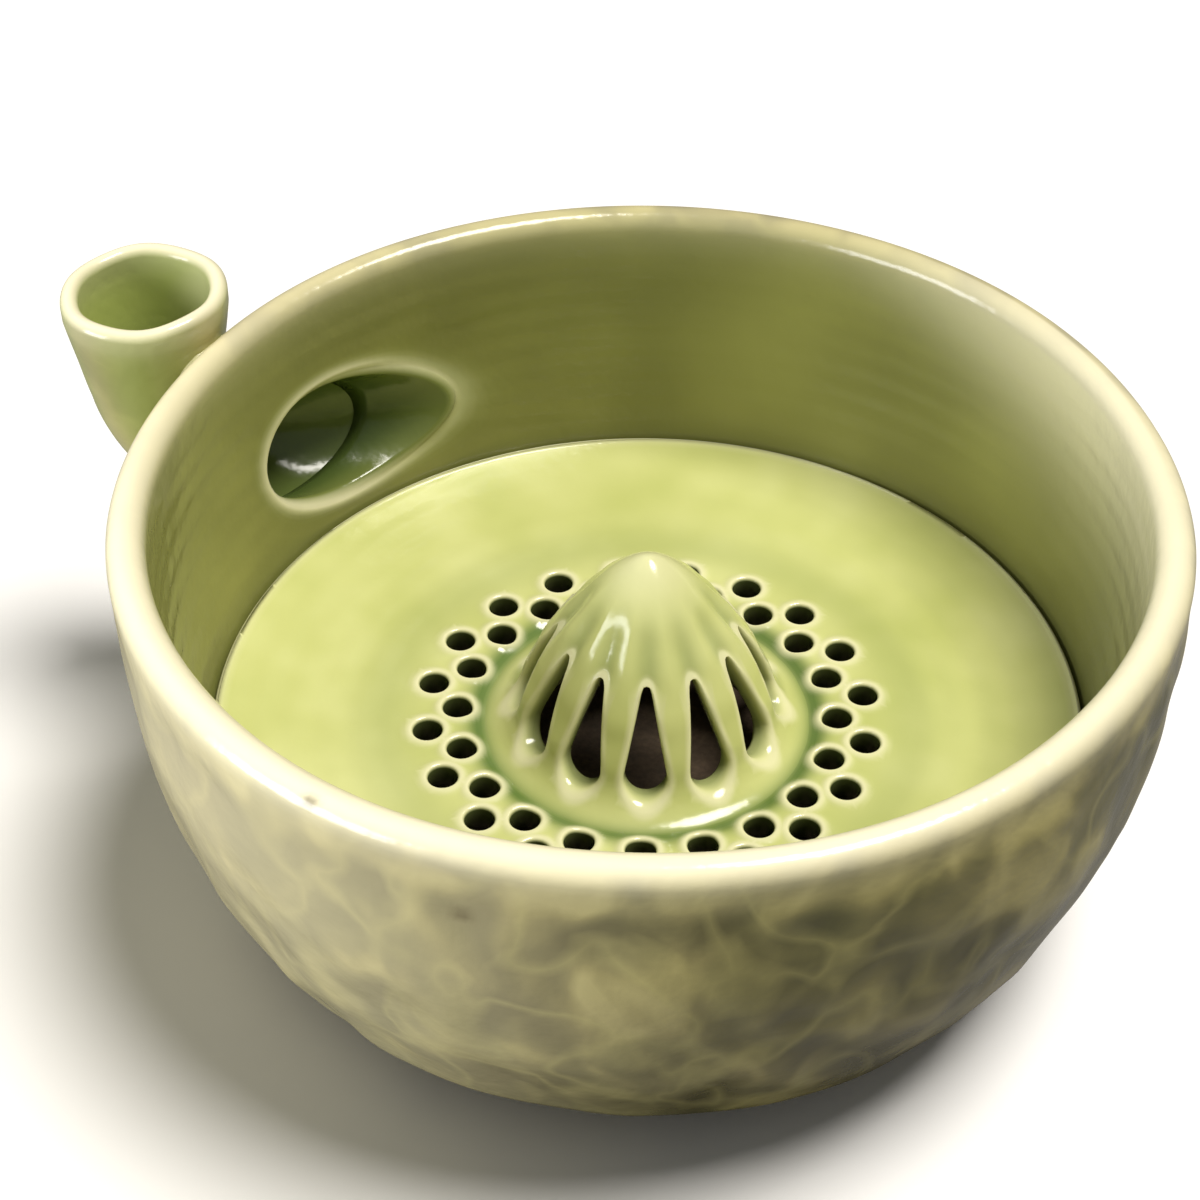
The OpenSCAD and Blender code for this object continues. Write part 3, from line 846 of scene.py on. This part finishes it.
r_top = np.concatenate([
    np.linspace(25.5, MOAT_R, 8)[:-1], np.linspace(MOAT_R, BAND_IN, 5)[:-1],
    np.linspace(BAND_IN, BAND_OUT, 18), np.linspace(BAND_OUT, 93.9, 34)[1:]])
z_top = dished(r_top, PLATE_MID) - (PLATE_MID - MOAT_Z) * (1 - smooth_step(34.8, 40.2, r_top))
edge = arc_points(93.4, 41.6, 1.3, 75, -20, 7)
outer_low = np.linspace(92.4, 52.5, 24)
r_low = np.concatenate([outer_low, np.linspace(BAND_OUT, BAND_IN, 18), np.linspace(37.6, 25.5, 8)])
z_low = np.where(r_low > 83, LEDGE_Z, np.minimum(dished(r_low, PLATE_LOW), LEDGE_Z))
plate_line = Profile(np.stack([r_top, z_top], 1), edge, [[93.0, 37.2]], np.stack([r_low, z_low], 1),
                     [[25.0, 32.5], [25.0, 35.6]])
p_grid, p_fixed, p_out = new_grid(plate_line.along, np.radians(np.arange(360.0)))
top_first = int(np.argmin(abs(r_top - BAND_IN)))
low_start = len(r_top) + len(edge) + 1
low_first = low_start + len(outer_low)
print("plate grid", p_grid.shape[:2], "first rows of the holes", top_first, low_first)

# %% [markdown]
# ## The holes
# The rows of the upper face run outwards and those of the lower face inwards, so the two rings of
# holes change places there.

# %% Lay the hole borders and relax
# first row of the hole band, its part of the profile, and how far the lip rounds over
plate_faces = ((top_first, (0, len(r_top)), HOLE_LIP),
               (low_first, (low_start, len(plate_line.points) - 2), LOW_LIP))
holes = []
for ring_no, (ring_r, first_col) in enumerate(RINGS):
    for col in range(first_col, 360, HOLE_STEP):
        borders = []
        for face, (first_row, span, lip) in enumerate(plate_faces):
            row = first_row + HALF_HOLE + (0 if ring_no == face else ROWS_APART)
            rows, cols, angle = leave_out(p_fixed, p_out, row, col, HALF_HOLE, HALF_HOLE)
            angle = flipped(angle, face == 1)
            r_line, t_line = hole_outline(ring_r, math.radians(col), HOLE_R + lip, angle)
            borders += [lay(p_grid, rows, cols, plate_line.look_up(0, r_line, *span), t_line), angle]
        holes.append((ring_r, math.radians(col), borders))
for first, last in ((top_first - 6, top_first + 24), (low_first - 6, low_first + 23)):
    relax_ring(p_grid, p_fixed, first, last, 240, 45.0, 18)
print(len(holes), "holes laid out")

# %% [markdown]
# ## The plate's relief
# Each hole has a low hill round it where the punch pushed the clay up, and faint rings and a slow
# wave run round the dished part.

# %% Build the plate
# down each hole the glaze pools, and further down it is painted dark, a painted shade
THROUGH_HOLE = {"thin": [0.9, 0.6, 0.2, 0, 0, 0], "pool": [0, 0.2, 0.5, 0.8, 0.6, 0.4],
                "deep": [0, 0.1, 0.35, 0.65, 0.9, 0.9]}

pr, pz = plate_line.at(p_grid[..., 0])
p_turn = p_grid[..., 1]
on_top = p_grid[..., 0] < plate_line.along[len(r_top)]
hole_mids = np.array([[r * math.cos(a), r * math.sin(a)] for r, a, _ in holes])
away = np.linalg.norm(around(pr, p_turn, pz)[:, :, None, :2] - hole_mids, axis=-1).min(-1)
past_lip = np.where((pr > 32) & (pr < 58), away, 20.0) - HOLE_R - HOLE_LIP
relief = 0.5 * bump(past_lip, 1.2) + 0.22 * smooth_step(55, 70, pr) * np.sin(3 * p_turn + pr / 9)
relief = relief + 0.10 * smooth_step(54, 62, pr) * np.sin(FULL_TURN * pr / 7.5)
pz = pz + np.where(on_top, relief, 0)
lip_thin = np.where(on_top, 0.8 * bump(np.maximum(past_lip, 0), 1.0), 0)
# the plate's underside is painted dark, a painted shade
plate_skin = Skin(around(pr, p_turn, pz), {
    "thin": np.maximum(lip_thin, 0.6 * smooth_step(91.5, 94.5, pr)),
    "pool": np.where(on_top, 0.95 * bump(pr - 37.2, 3.0) + 0.2 * bump(pr - 58, 7), 0),
    "deep": np.where(on_top, 0, 0.6)}, p_out, ring=True)
for ring_r, turn, (front, front_angle, back, back_angle) in holes:
    order = in_step(front_angle, back_angle)
    z_up, z_down = pz[front], pz[back][order]
    steps = [(HOLE_LIP * (1 - sine), z_up - HOLE_LIP * drop) for _, sine, drop in quarter(4)]
    steps += [(LOW_LIP * (1 - q), z_down + LOW_LIP * q) for q in (0.9, 0.5)]
    rings = [around(*hole_outline(ring_r, turn, HOLE_R + wider, front_angle), z) for wider, z in steps]
    plate_skin.lead_through(plate_skin.ids[front], plate_skin.ids[back][order], rings, THROUGH_HOLE)
plate = plate_skin.piece("strainer_plate_skin", [pale])
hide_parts("strainer_plate")
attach(plate, "strainer")

# %% [markdown]
# ## The slotted cone
# The cone stands in the channel like a citrus squeezer's. Twelve teardrop slots are cut through
# it, and each runs on above as a shallow flute. The edges were wiped with a wet finger before
# glazing, so they are round and break to cream. The tip is painted paler, thin glaze and a painted
# highlight.

# %% The cone's profile and grid
SLOTS, SLOT_TURN, SLOT_COLS, LOW_Z, HIGH_Z, SLOT_MID_Z = 12, 28.0, 24, 44.5, 62.1, 51.3
CONE_R, CONE_H, HOLLOW_R, HOLLOW_H, TIP_Z, HOLLOW_TIP_Z = 30.0, 46.0, 25.5, 39.0, 82.82, 75.8
COVE_Z, COVE_H, COVE_W = 36.75, 7.0, 7.4
SLOT_STEP = FULL_TURN / SLOTS


def cone_radius(z, base, tall):
    """Radius of the cone at height z: full at the base, closing in a blunt tip."""
    u = np.clip((z - MOAT_Z) / tall, 0, 1)
    return base * (1 - u ** 1.45) ** 0.72


def cone_outside(z):
    """The cone's side plus a cove, a quarter of an ellipse that lies down flat into the channel."""
    q = np.clip((COVE_Z + COVE_H - z) / COVE_H, 0, 1)
    return cone_radius(z, CONE_R, CONE_H) + COVE_W * (1 - np.sqrt(np.maximum(1 - q * q, 0)))


def cone_inside(z):
    """The radius of the cone's hollow."""
    return cone_radius(z, HOLLOW_R, HOLLOW_H)


z_cove = COVE_Z + COVE_H * (1 - np.sin(np.linspace(0, math.pi / 2, 16)))
down = np.r_[np.linspace(0.9995, 0.96, 8)[:-1], np.linspace(0.96, 0.157, 42)[:-1]]
z_out = np.r_[MOAT_Z + CONE_H * down, z_cove]
z_in = MOAT_Z + HOLLOW_H * np.r_[np.linspace(0, 0.96, 40)[:-1], np.linspace(0.96, 0.9995, 5)]
cone_line = Profile(np.stack([cone_outside(z_out), z_out], 1), [[36.6, 36.3]], [[26.0, 36.2]],
                    np.stack([cone_inside(z_in), z_in], 1))
n_out = len(z_out)
c_turns = math.radians(SLOT_TURN) + np.radians(np.arange(SLOTS * SLOT_COLS) * 360 / (SLOTS * SLOT_COLS))
c_grid, c_fixed, c_out = new_grid(cone_line.along, c_turns)
print("cone grid", c_grid.shape[:2])

# %% [markdown]
# ## The slots
# A teardrop is two round ends and their common tangents. Its outline, seen from outside, is kept
# as a reach for each direction, so that a border's angles find their places on it.

# %% Lay the slots
HALF_SLOT_ROWS, HALF_SLOT_COLS, LOW_END_R, HIGH_END_R, STRETCH = 13, 9, 4.5, 0.9, 2.1


def teardrop(grow_low, grow_high):
    """Outline seen from outside, its ends grown by the given sizes, as angle and reach."""
    low_r, high_r = LOW_END_R + grow_low, HIGH_END_R + grow_high
    lean = math.degrees(math.asin((low_r - high_r) / (HIGH_Z - LOW_Z)))
    low = arc_points(0, LOW_Z, low_r, 180 - lean, 360 + lean, 80)
    high = arc_points(0, HIGH_Z, high_r, lean, 180 - lean, 30)
    sides = np.linspace(low[-1], high[0], 40), np.linspace(high[-1], low[0], 40)
    mid = np.array([0.0, SLOT_MID_Z])
    away = np.concatenate([low, sides[0], high, sides[1]]) - mid
    angle = np.arctan2(away[:, 1], away[:, 0])
    order = np.argsort(angle)
    return angle[order], np.hypot(*away.T)[order]


def teardrop_at(shape, angle):
    """Side and height of the outline in the direction of a border angle, stretched to the slot's length."""
    aim = np.arctan2(np.sin(angle) * STRETCH, np.cos(angle))
    r = np.interp(aim, *shape, period=FULL_TURN)
    return r * np.cos(aim), SLOT_MID_Z + r * np.sin(aim)


outer_drop, plain_drop, inner_drop = teardrop(1.5, 1.0), teardrop(0, 0), teardrop(0.5, 0.4)
# points of the profile on each face, its heights, its radius and the outline laid on it
cone_faces = ((0, n_out, z_out, cone_outside, outer_drop), (n_out + 2, None, z_in, cone_inside, inner_drop))
slots = []
for k in range(SLOTS):
    borders = []
    for first, last, z_face, face_radius, shape in cone_faces:
        row = first + int(np.argmin(abs(z_face - SLOT_MID_Z)))
        rows, cols, angle = leave_out(c_fixed, c_out, row, k * SLOT_COLS, HALF_SLOT_ROWS, HALF_SLOT_COLS)
        # outside, heights fall with the rows; inside they rise
        angle = flipped(angle, first == 0)
        side, z = teardrop_at(shape, angle)
        turn = math.radians(SLOT_TURN) + k * SLOT_STEP + np.arcsin(np.clip(side / face_radius(z), -1, 1))
        borders += [lay(c_grid, rows, cols, cone_line.look_up(1, z, first, last), turn), angle]
    slots.append(borders)
relax_ring(c_grid, c_fixed, 10, n_out, 400, 26.0, 24)
relax_ring(c_grid, c_fixed, n_out + 2, len(cone_line.along) - 3, 400, 20.0, 24)
print(len(slots), "slots laid out")

# %% [markdown]
# ## The cone's flutes and the slots' walls
# All slots are alike, so the rings through the wall are worked out once, as seen from outside,
# and turned to each slot's direction.

# %% Build the cone
EDGE_DEEP = 1.7
# down the slot walls the glaze pools and is painted dark, a painted shade
THROUGH_SLOT = {"thin": [0.8, 0.75, 0.6, 0.4, 0.25, 0.1, 0.1], "pool": [0, 0, 0, 0.1, 0.2, 0.5, 0.5],
                "deep": [0, 0, 0, 0, 0.05, 0.25, 0.4]}


def facing(turn, side, out, z):
    """Points of a slot, from the way out along its direction, the way to the side, and the height."""
    cosine, sine = math.cos(turn), math.sin(turn)
    return np.stack([out * cosine - side * sine, out * sine + side * cosine, z], -1)


cr, cz = cone_line.at(c_grid[..., 0])
c_turn = c_grid[..., 1]
outside = c_grid[..., 0] <= cone_line.along[n_out - 1]
from_slot = (np.mod(c_turn - math.radians(SLOT_TURN) + SLOT_STEP / 2, SLOT_STEP) - SLOT_STEP / 2) * cr
flute = bump(from_slot, 2.6) * smooth_step(58.0, 64.5, cz) * (1 - smooth_step(65, 79, cz))
flute = np.where(outside, flute, 0)
cr = cr - 1.5 * flute + np.where(outside, 0.12 * np.sin(FULL_TURN * cz / 9.0) * smooth_step(40, 46, cz), 0)
wide = 6.0 - (np.clip(cz, LOW_Z, HIGH_Z) - LOW_Z) / (HIGH_Z - LOW_Z) * 4.1
reach = np.hypot(from_slot, np.where(cz < LOW_Z, cz - LOW_Z, np.maximum(cz - HIGH_Z, 0)))
# cream on the wiped edges; the paler tip is thin glaze and a painted highlight
thin_edges_and_painted_light = np.maximum(0.6 * bump(np.maximum(reach - wide, 0), 0.6), 0.05 + 0.55 * smooth_step(72, 83, cz))
# inside the cone the pool and depth marks are painted shade
cone_skin = Skin(around(cr, c_turn, cz), {
    "thin": np.where(outside, thin_edges_and_painted_light, 0) * (1 - smooth_step(32, MOAT_R, cr)),
    "pool": np.where(outside, 0.38 * flute + 0.9 * bump(np.maximum(37.3 - cr, 0), 3.0), 0.3),
    "deep": np.where(outside, 0, 0.4)}, c_out)
front_angle = slots[0][1]
side0, z0 = teardrop_at(outer_drop, front_angle)
side1, z1 = teardrop_at(plain_drop, front_angle)
slot_rings = []
for _, sine, drop in quarter(5):
    side, z = side0 + (side1 - side0) * sine, z0 + (z1 - z0) * sine
    slot_rings.append((side, np.sqrt(cone_outside(z) ** 2 - side ** 2) - EDGE_DEEP * drop, z))
deep = np.sqrt(np.maximum(cone_inside(z1) ** 2 - side1 ** 2, 1.0)) + 0.7
start = np.sqrt(cone_outside(z1) ** 2 - side1 ** 2) - EDGE_DEEP
slot_rings.append((side1, start * 0.45 + np.minimum(deep, start) * 0.55, z1))
slot_rings.append((side1, np.minimum(deep, start - 0.3), z1))
for k, (front, front_angle, back, back_angle) in enumerate(slots):
    rings = [facing(math.radians(SLOT_TURN) + k * SLOT_STEP, *ring) for ring in slot_rings]
    back_ids = cone_skin.ids[back][in_step(front_angle, back_angle)]
    cone_skin.lead_through(cone_skin.ids[front], back_ids, rings, THROUGH_SLOT)
# the tip is painted paler, thin glaze and a painted highlight, and the hollow's top dark, a painted shade
cone_skin.cap(cone_skin.ids[0][::-1], (0, 0, TIP_Z), {"thin": 0.5})
cone_skin.cap(cone_skin.ids[-1], (0, 0, HOLLOW_TIP_Z), {"pool": 0.3, "deep": 0.4})
cone = cone_skin.piece("slotted_cone", [pale])
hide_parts("strainer_cone")
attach(cone, "strainer")

# %% [markdown]
# ## The filling spout
# A cup stands on a bend that turns into a short tube. The two are made apart and joined, and the
# glaze hides the joint, so they share a skin here: a ring carried along a path, from the wall
# round a quarter bend, up the cup's swelling side, over the lip and back down the inside. At the
# wall each point runs out to just under the bowl's skin, with a cove where a finger smoothed the
# clay.

# %% The spout's path and radii
NECK_Z, BEND_R, CUP_TOP, BAND_Z, SIDES = 82.5, 20.0, 108.0, 103.2, 144
TUBE_R, TUBE_BORE, BEND_WAY, LIP_MID_R, LIP_R = 13.0, 10.2, 31.4, 16.3, 2.0
up_dir, side_dir = np.array([0, 0, 1.0]), np.array([*across_axis, 0])
tube_dir, cup_axis = np.array([*along_axis, 0]), np.array([CUP_X, 0, 0])
ring_angle = np.linspace(0, FULL_TURN, SIDES, endpoint=False)


def cup_side_radius(z, depth):
    """Radius of the cup's side: a neck that swells as a root of the height, then upright."""
    return TUBE_R - depth + 5.3 * np.clip((z - NECK_Z) / (BAND_Z - NECK_Z), 0, 1) ** 0.55


def bend_rings(turn, radius, z=NECK_Z):
    """Rings round the path: flat over the bend at no turn, and facing the wall at a quarter turn."""
    turn, radius, z = (np.reshape(v, (-1, 1, 1)) for v in np.broadcast_arrays(turn, radius, z))
    ahead_dir = np.cos(turn) * tube_dir + np.sin(turn) * up_dir
    mid = cup_axis + z * up_dir + BEND_R * ((1 - np.cos(turn)) * tube_dir - np.sin(turn) * up_dir)
    angle = ring_angle[None, :, None]
    return mid + radius * (np.cos(angle) * ahead_dir + np.sin(angle) * side_dir)


def tube_rings(share, radius, depth):
    """Rings from the bend's end to the wall, each point led along the tube to a depth below the skin."""
    up, side = radius[:, None] * np.cos(ring_angle), radius[:, None] * np.sin(ring_angle)
    reach = reach_of(side, wall_radius(PORT_Z + up) - depth)
    return on_line(side, up, BEND_R + (reach - BEND_R) * share[:, None])


# the outer radius along the bend and the cup, with the neck's corner smoothed over 10 mm
way = np.linspace(-BEND_WAY, BAND_Z - NECK_Z, 400)
swell = TUBE_R + 0.6 * np.sin(np.clip(-way / BEND_WAY, 0, 1) * math.pi)
plain = np.where(way < 0, swell, cup_side_radius(NECK_Z + way, 0))
kernel = bump(np.arange(-90, 91) * (way[1] - way[0]), 5.0)
smooth = np.convolve(np.pad(plain, 90, mode="edge"), kernel / kernel.sum(), "valid")
smooth = plain + (smooth - plain) * bump(np.maximum(np.abs(way) - 10, 0), 4.0) + 0.9 * bump(way, 6.5)

# outside from the wall up to the lip, and inside back down to the wall
tube_share = np.linspace(1, 0, 13)
cove = 4.1 + 3.4 * tube_share ** 3
turn = np.linspace(math.pi / 2, 0, 26)
z_cup = NECK_Z + (BAND_Z - NECK_Z) * np.linspace(0.0, 1, 26)[1:] ** 1.6
lip_turn = np.linspace(0, math.pi, 15)
back = tube_share[::-1][1:]
rings = np.concatenate([
    tube_rings(tube_share, TUBE_R + cove * (tube_share * 0.85 + 0.15), 0.9),
    bend_rings(turn[1:], np.interp(-BEND_R * turn[1:], way, smooth)),
    bend_rings(0, np.interp(z_cup - NECK_Z, way, smooth), z_cup),
    bend_rings(0, LIP_MID_R + LIP_R * np.cos(lip_turn), CUP_TOP - LIP_R + LIP_R * np.sin(lip_turn)),
    bend_rings(0, cup_side_radius(z_cup[::-1], 4.0), z_cup[::-1]),
    bend_rings(turn[::-1][:-1], 9.0 + 1.2 * np.sin(turn[::-1][:-1])),
    tube_rings(back, TUBE_BORE + 3.7 * smooth_step(0, 1, back), 1.5),
    tube_rings(np.array([1.0]), np.array([14.3]), 1.4)])
n_outside = len(tube_share) + len(turn) - 1 + len(z_cup)
print("spout of", len(rings), "rings,", n_outside, "of them outside below the lip")

# %% [markdown]
# ## The waver of the cup and its marks
# The cup is a little out of round, and the far side of its lip stands 1.3 mm higher than the
# near side. At the root the marks go over to the wall's own, so that the glaze runs on without a
# seam.

# %% Build the spout
UNDER_SKIN = 1.2

ring_no = np.arange(len(rings))[:, None] * np.ones(SIDES)
cup_part = smooth_step(NECK_Z + 4, CUP_TOP, rings[..., 2].mean(1))[:, None]
centre = rings.mean(1, keepdims=True)
waver = 1 + cup_part * waves(ring_angle, (0.012, 2, 0.8), (0.006, 3, 2.0))[None]
rings = centre + (rings - centre) * waver[..., None]
far = (rings[..., 0] - CUP_X) * (-math.sin(TURN)) + rings[..., 1] * math.cos(TURN)
rings[..., 2] += smooth_step(96, 107, rings[..., 2]) * (0.7 * far / 18.3 + waves(ring_angle, (0.25, 5, 0.0)))
# nothing of the outside dips further than this under the bowl's skin
flat_r = np.hypot(rings[..., 0], rings[..., 1])
floor_r = wall_radius(rings[..., 2]) - UNDER_SKIN
dips = (flat_r < floor_r) & (ring_no < n_outside) & (rings[..., 2] < BOWL_H)
rings[..., :2] *= np.where(dips, floor_r / np.maximum(flat_r, 1e-6), 1)[..., None]
lip_mark = bump(ring_no - (n_outside + 7.0), 5.8)
in_mark = smooth_step(n_outside + 6, n_outside + 15, ring_no)
# down inside the cup and the tube the glaze is painted darker, part pooled glaze and part painted shade
deep_mark = np.where(ring_no > n_outside + 12, 1 - smooth_step(72, 97, rings[..., 2]), 0)
# inside, the side of the cup turned to the bowl and the camera's right is painted paler, a painted lit side
aside = (rings[..., 0] - CUP_X) * math.cos(TURN) + rings[..., 1] * math.sin(TURN)
thin_edges_and_painted_light = 0.3 * smooth_step(0, 12, aside) * smooth_step(80, 98, rings[..., 2]) * in_mark
streaks = 0.5 + 0.5 * np.sin(5 * ring_angle + 1.2 * np.sin(2 * ring_angle))
root = (ring_no < n_outside) * (1 - smooth_step(3, 11, ring_no))
spout = Skin(rings, {
    "thin": np.maximum(0.95 * lip_mark, thin_edges_and_painted_light), "pool": 0.85 * deep_mark,
    "inside": np.maximum(0.4, in_mark) * (1 - root),
    "painted_lit_side_and_streaks": np.where(in_mark < 0.5, 0.45 * streaks, 0) * (1 - root) + 0.8 * root,
    "leaf": np.maximum(0.6 * (1 - streaks) + 0.1, in_mark) * (1 - root),
    "hollow": 0.5 * root + 0.75 * (1 - streaks) * (1 - root)}, ring=True).piece("filling_spout", [celadon])
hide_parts("spout_cup", "spout_bend")
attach(spout, "bowl")

# %% [markdown]
# ## The luting
# Where the cup leans on the rim, a strip of soft clay was pressed into the cleft and wiped
# smooth. In plan it is a fillet: a circle that touches the cup and the wall, whose radius tapers
# to both ends of the strip.

# %% Build the luting fillets
PAST_TOUCH = 0.12

z_lute = np.linspace(84.0, 98.2, 30)[:, None]
fillet_r = 0.25 + 2.3 * np.sin(np.pi * (z_lute - 83.9) / 16.8) ** 1.6
share = np.linspace(-PAST_TOUCH, 1 + PAST_TOUCH, 15)
# past the tangent points the sheet dips under both skins
reach = fillet_r + 0.9 * np.maximum(np.abs(share - 0.5) - 0.5, 0) / PAST_TOUCH
d_bowl, d_cup = BOWL_R + fillet_r, cup_side_radius(z_lute, 0) + fillet_r
x = (d_bowl ** 2 - d_cup ** 2 + CUP_X ** 2) / (2 * CUP_X)
sheets = []
for hand in (1, -1):
    y = hand * np.sqrt(np.maximum(d_bowl ** 2 - x ** 2, 0))
    to_bowl, to_cup = np.arctan2(-y, -x), np.arctan2(-y, CUP_X - x)
    front = around(reach, to_bowl + wrapped(to_cup - to_bowl) * share, z_lute)
    front[..., 0] += x
    front[..., 1] += y
    sheets.append(front if hand > 0 else front[:, ::-1])
loop = np.concatenate(sheets, 1)
lute_marks = {"thin": 0.35, "inside": 0.5, "painted_lit_side_and_streaks": 0.4, "leaf": 0.3}
lute_skin = Skin(loop, lute_marks)
lute_skin.cap(lute_skin.ids[0][::-1], loop[0].mean(0) + [0, 0, -0.8], lute_marks)
lute_skin.cap(lute_skin.ids[-1], loop[-1].mean(0) + [0, 0, 0.6], lute_marks)
luting = lute_skin.piece("luting_fillet", [celadon])
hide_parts("luting_strip")
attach(luting, "bowl")

# %% [markdown]
# ## The foot ring
# The foot is trimmed from the leather-hard clay with a loop tool, which leaves fine rings on its
# sides and lets them waver by a hair. Its edges are wiped round, and it stands on a flat face.

# %% Build the foot ring
TOOL_MM = 1.7
foot_line = Profile(
    np.linspace((62.3, 9.0), (62.1, 1.6), 12), arc_points(63.7, 1.6, 1.6, 180, 270, 8),
    np.linspace((63.7, 0), (68.7, 0), 8), arc_points(68.7, 1.4, 1.4, 270, 360, 8),
    np.linspace((70.1, 1.4), (70.3, 6.0), 10), [[70.9, 7.2], [71.8, 7.9]],
    np.linspace((71.8, 9.0), (62.6, 9.0), 6))
fs, ft = np.meshgrid(foot_line.along[:-1], np.linspace(0, FULL_TURN, 360, endpoint=False), indexing="ij")
fr, fz = foot_line.at(fs)
fr = fr + waves(ft, (0.15, 3, 1)) * (fz > 0.5) + 0.05 * np.sin(FULL_TURN * fz / TOOL_MM) * (fz > 1)
foot = Skin(around(fr, ft, fz), ring=True).piece("foot_ring_skin", [clay])
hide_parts("foot_ring")
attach(foot, "bowl")

# %% [markdown]
# ## Floor, light and background
# A gloss needs something wide and pale to mirror. The window's light comes from high up on the
# right, a white reflector stands low on the left, a faint panel hangs overhead, and a pale room
# fills the rest. A camera ray that misses the floor meets a plain white.

# %% Light the bench
SUN_WIDTH, SUN_STRENGTH, SUN_WAY = math.radians(25), 3.5, (-0.31, -0.01, -0.95)
BENCH_HALF = 3

world = bpy.data.worlds.new("pale_room")
bpy.context.scene.world = world
world.use_nodes = True
t = world.node_tree
t.nodes.clear()
rays = node(t, "ShaderNodeLightPath").outputs
seen = node(t, "ShaderNodeMath", {"operation": "MAXIMUM"},
            {0: rays["Is Camera Ray"], 1: rays["Is Transmission Ray"]})
# the room lights little, and a glaze mirrors a little more of its paleness
bounce = node(t, "ShaderNodeMath", {"operation": "MULTIPLY_ADD"},
              {0: rays["Is Glossy Ray"], 1: 0.07, 2: 0.15})
room = node(t, "ShaderNodeBackground", feeds={"Color": "#f6f7f8", "Strength": bounce.outputs[0]})
white = node(t, "ShaderNodeBackground", feeds={"Color": "#ffffff", "Strength": 1.0})
either = node(t, "ShaderNodeMixShader", feeds={0: seen.outputs[0], 1: room.outputs[0], 2: white.outputs[0]})
node(t, "ShaderNodeOutputWorld", feeds={"Surface": either.outputs[0]})


def by_camera(x, y, z):
    """A place or way given to the right of, beyond and above the bowl as the camera sees it."""
    return turned @ Vector((x, y, z))


def lamp(name, kind, strength, colour, way, place=None):
    """A lamp that shines a way, at a place in metres where it has one."""
    light = bpy.data.lights.new(name, kind)
    light.energy = strength
    light.color = hex_rgb(colour)[:3]
    made = bpy.data.objects.new(name, light)
    bpy.context.collection.objects.link(made)
    turn_to = way.to_track_quat("-Z", "Y").to_matrix().to_4x4()
    made.matrix_world = Matrix.Translation(place or Vector()) @ turn_to
    return made


lamp("window", "SUN", SUN_STRENGTH, "#fffaf2", by_camera(*SUN_WAY)).data.angle = SUN_WIDTH
bench_mesh = bpy.data.meshes.new("bench_top")
corners = [(x * BENCH_HALF, y * BENCH_HALF, 0) for x, y in ((-1, -1), (1, -1), (1, 1), (-1, 1))]
bench_mesh.from_pydata(corners, [], [(0, 1, 2, 3)])
bench = bpy.data.objects.new("bench_top", bench_mesh)
bpy.context.collection.objects.link(bench)
bench_white, t, place = new_finish("matt_white_bench")
tint = ramp(t, noise(t, place, 400, 1.0), [(0.4, "#fdfdfd"), (0.6, "#ffffff")])
# light that bounces off the bench is toned down, so that it doesn't wash out the wall above it
to_camera = node(t, "ShaderNodeLightPath").outputs["Is Camera Ray"]
end_finish(t, blend(t, to_camera, "#868686", tint), 0.9, shine=0.0)
bench_mesh.materials.append(bench_white)

# both area lamps light the pot and not the bench, so the shadow on it stays deep
not_lit = bpy.data.collections.new("not_lit_by_the_lamps")
not_lit.objects.link(bench)
for name, place, size, watts, colour in (("reflector", (-0.85, -0.42, 0.24), 0.6, 11.5, "#fbfcff"),
                                         ("ceiling_panel", (0.35, -0.55, 1.1), 1.2, 2.0, "#ffffff")):
    place = by_camera(*place)
    made = lamp(name, "AREA", watts, colour, Vector((0, 0, 0.05)) - place, place)
    made.data.size = size
    made.light_linking.receiver_collection = not_lit
# the last of them would show as a glare inside the port
made.visible_glossy = False
not_lit.collection_objects[0].light_linking.link_state = "EXCLUDE"

bpy.context.scene.view_settings.view_transform = "Standard"
print("a window, two lamps and a pale room")

# %% [markdown]
# ## The end

# %% The end
print("the scene is built")
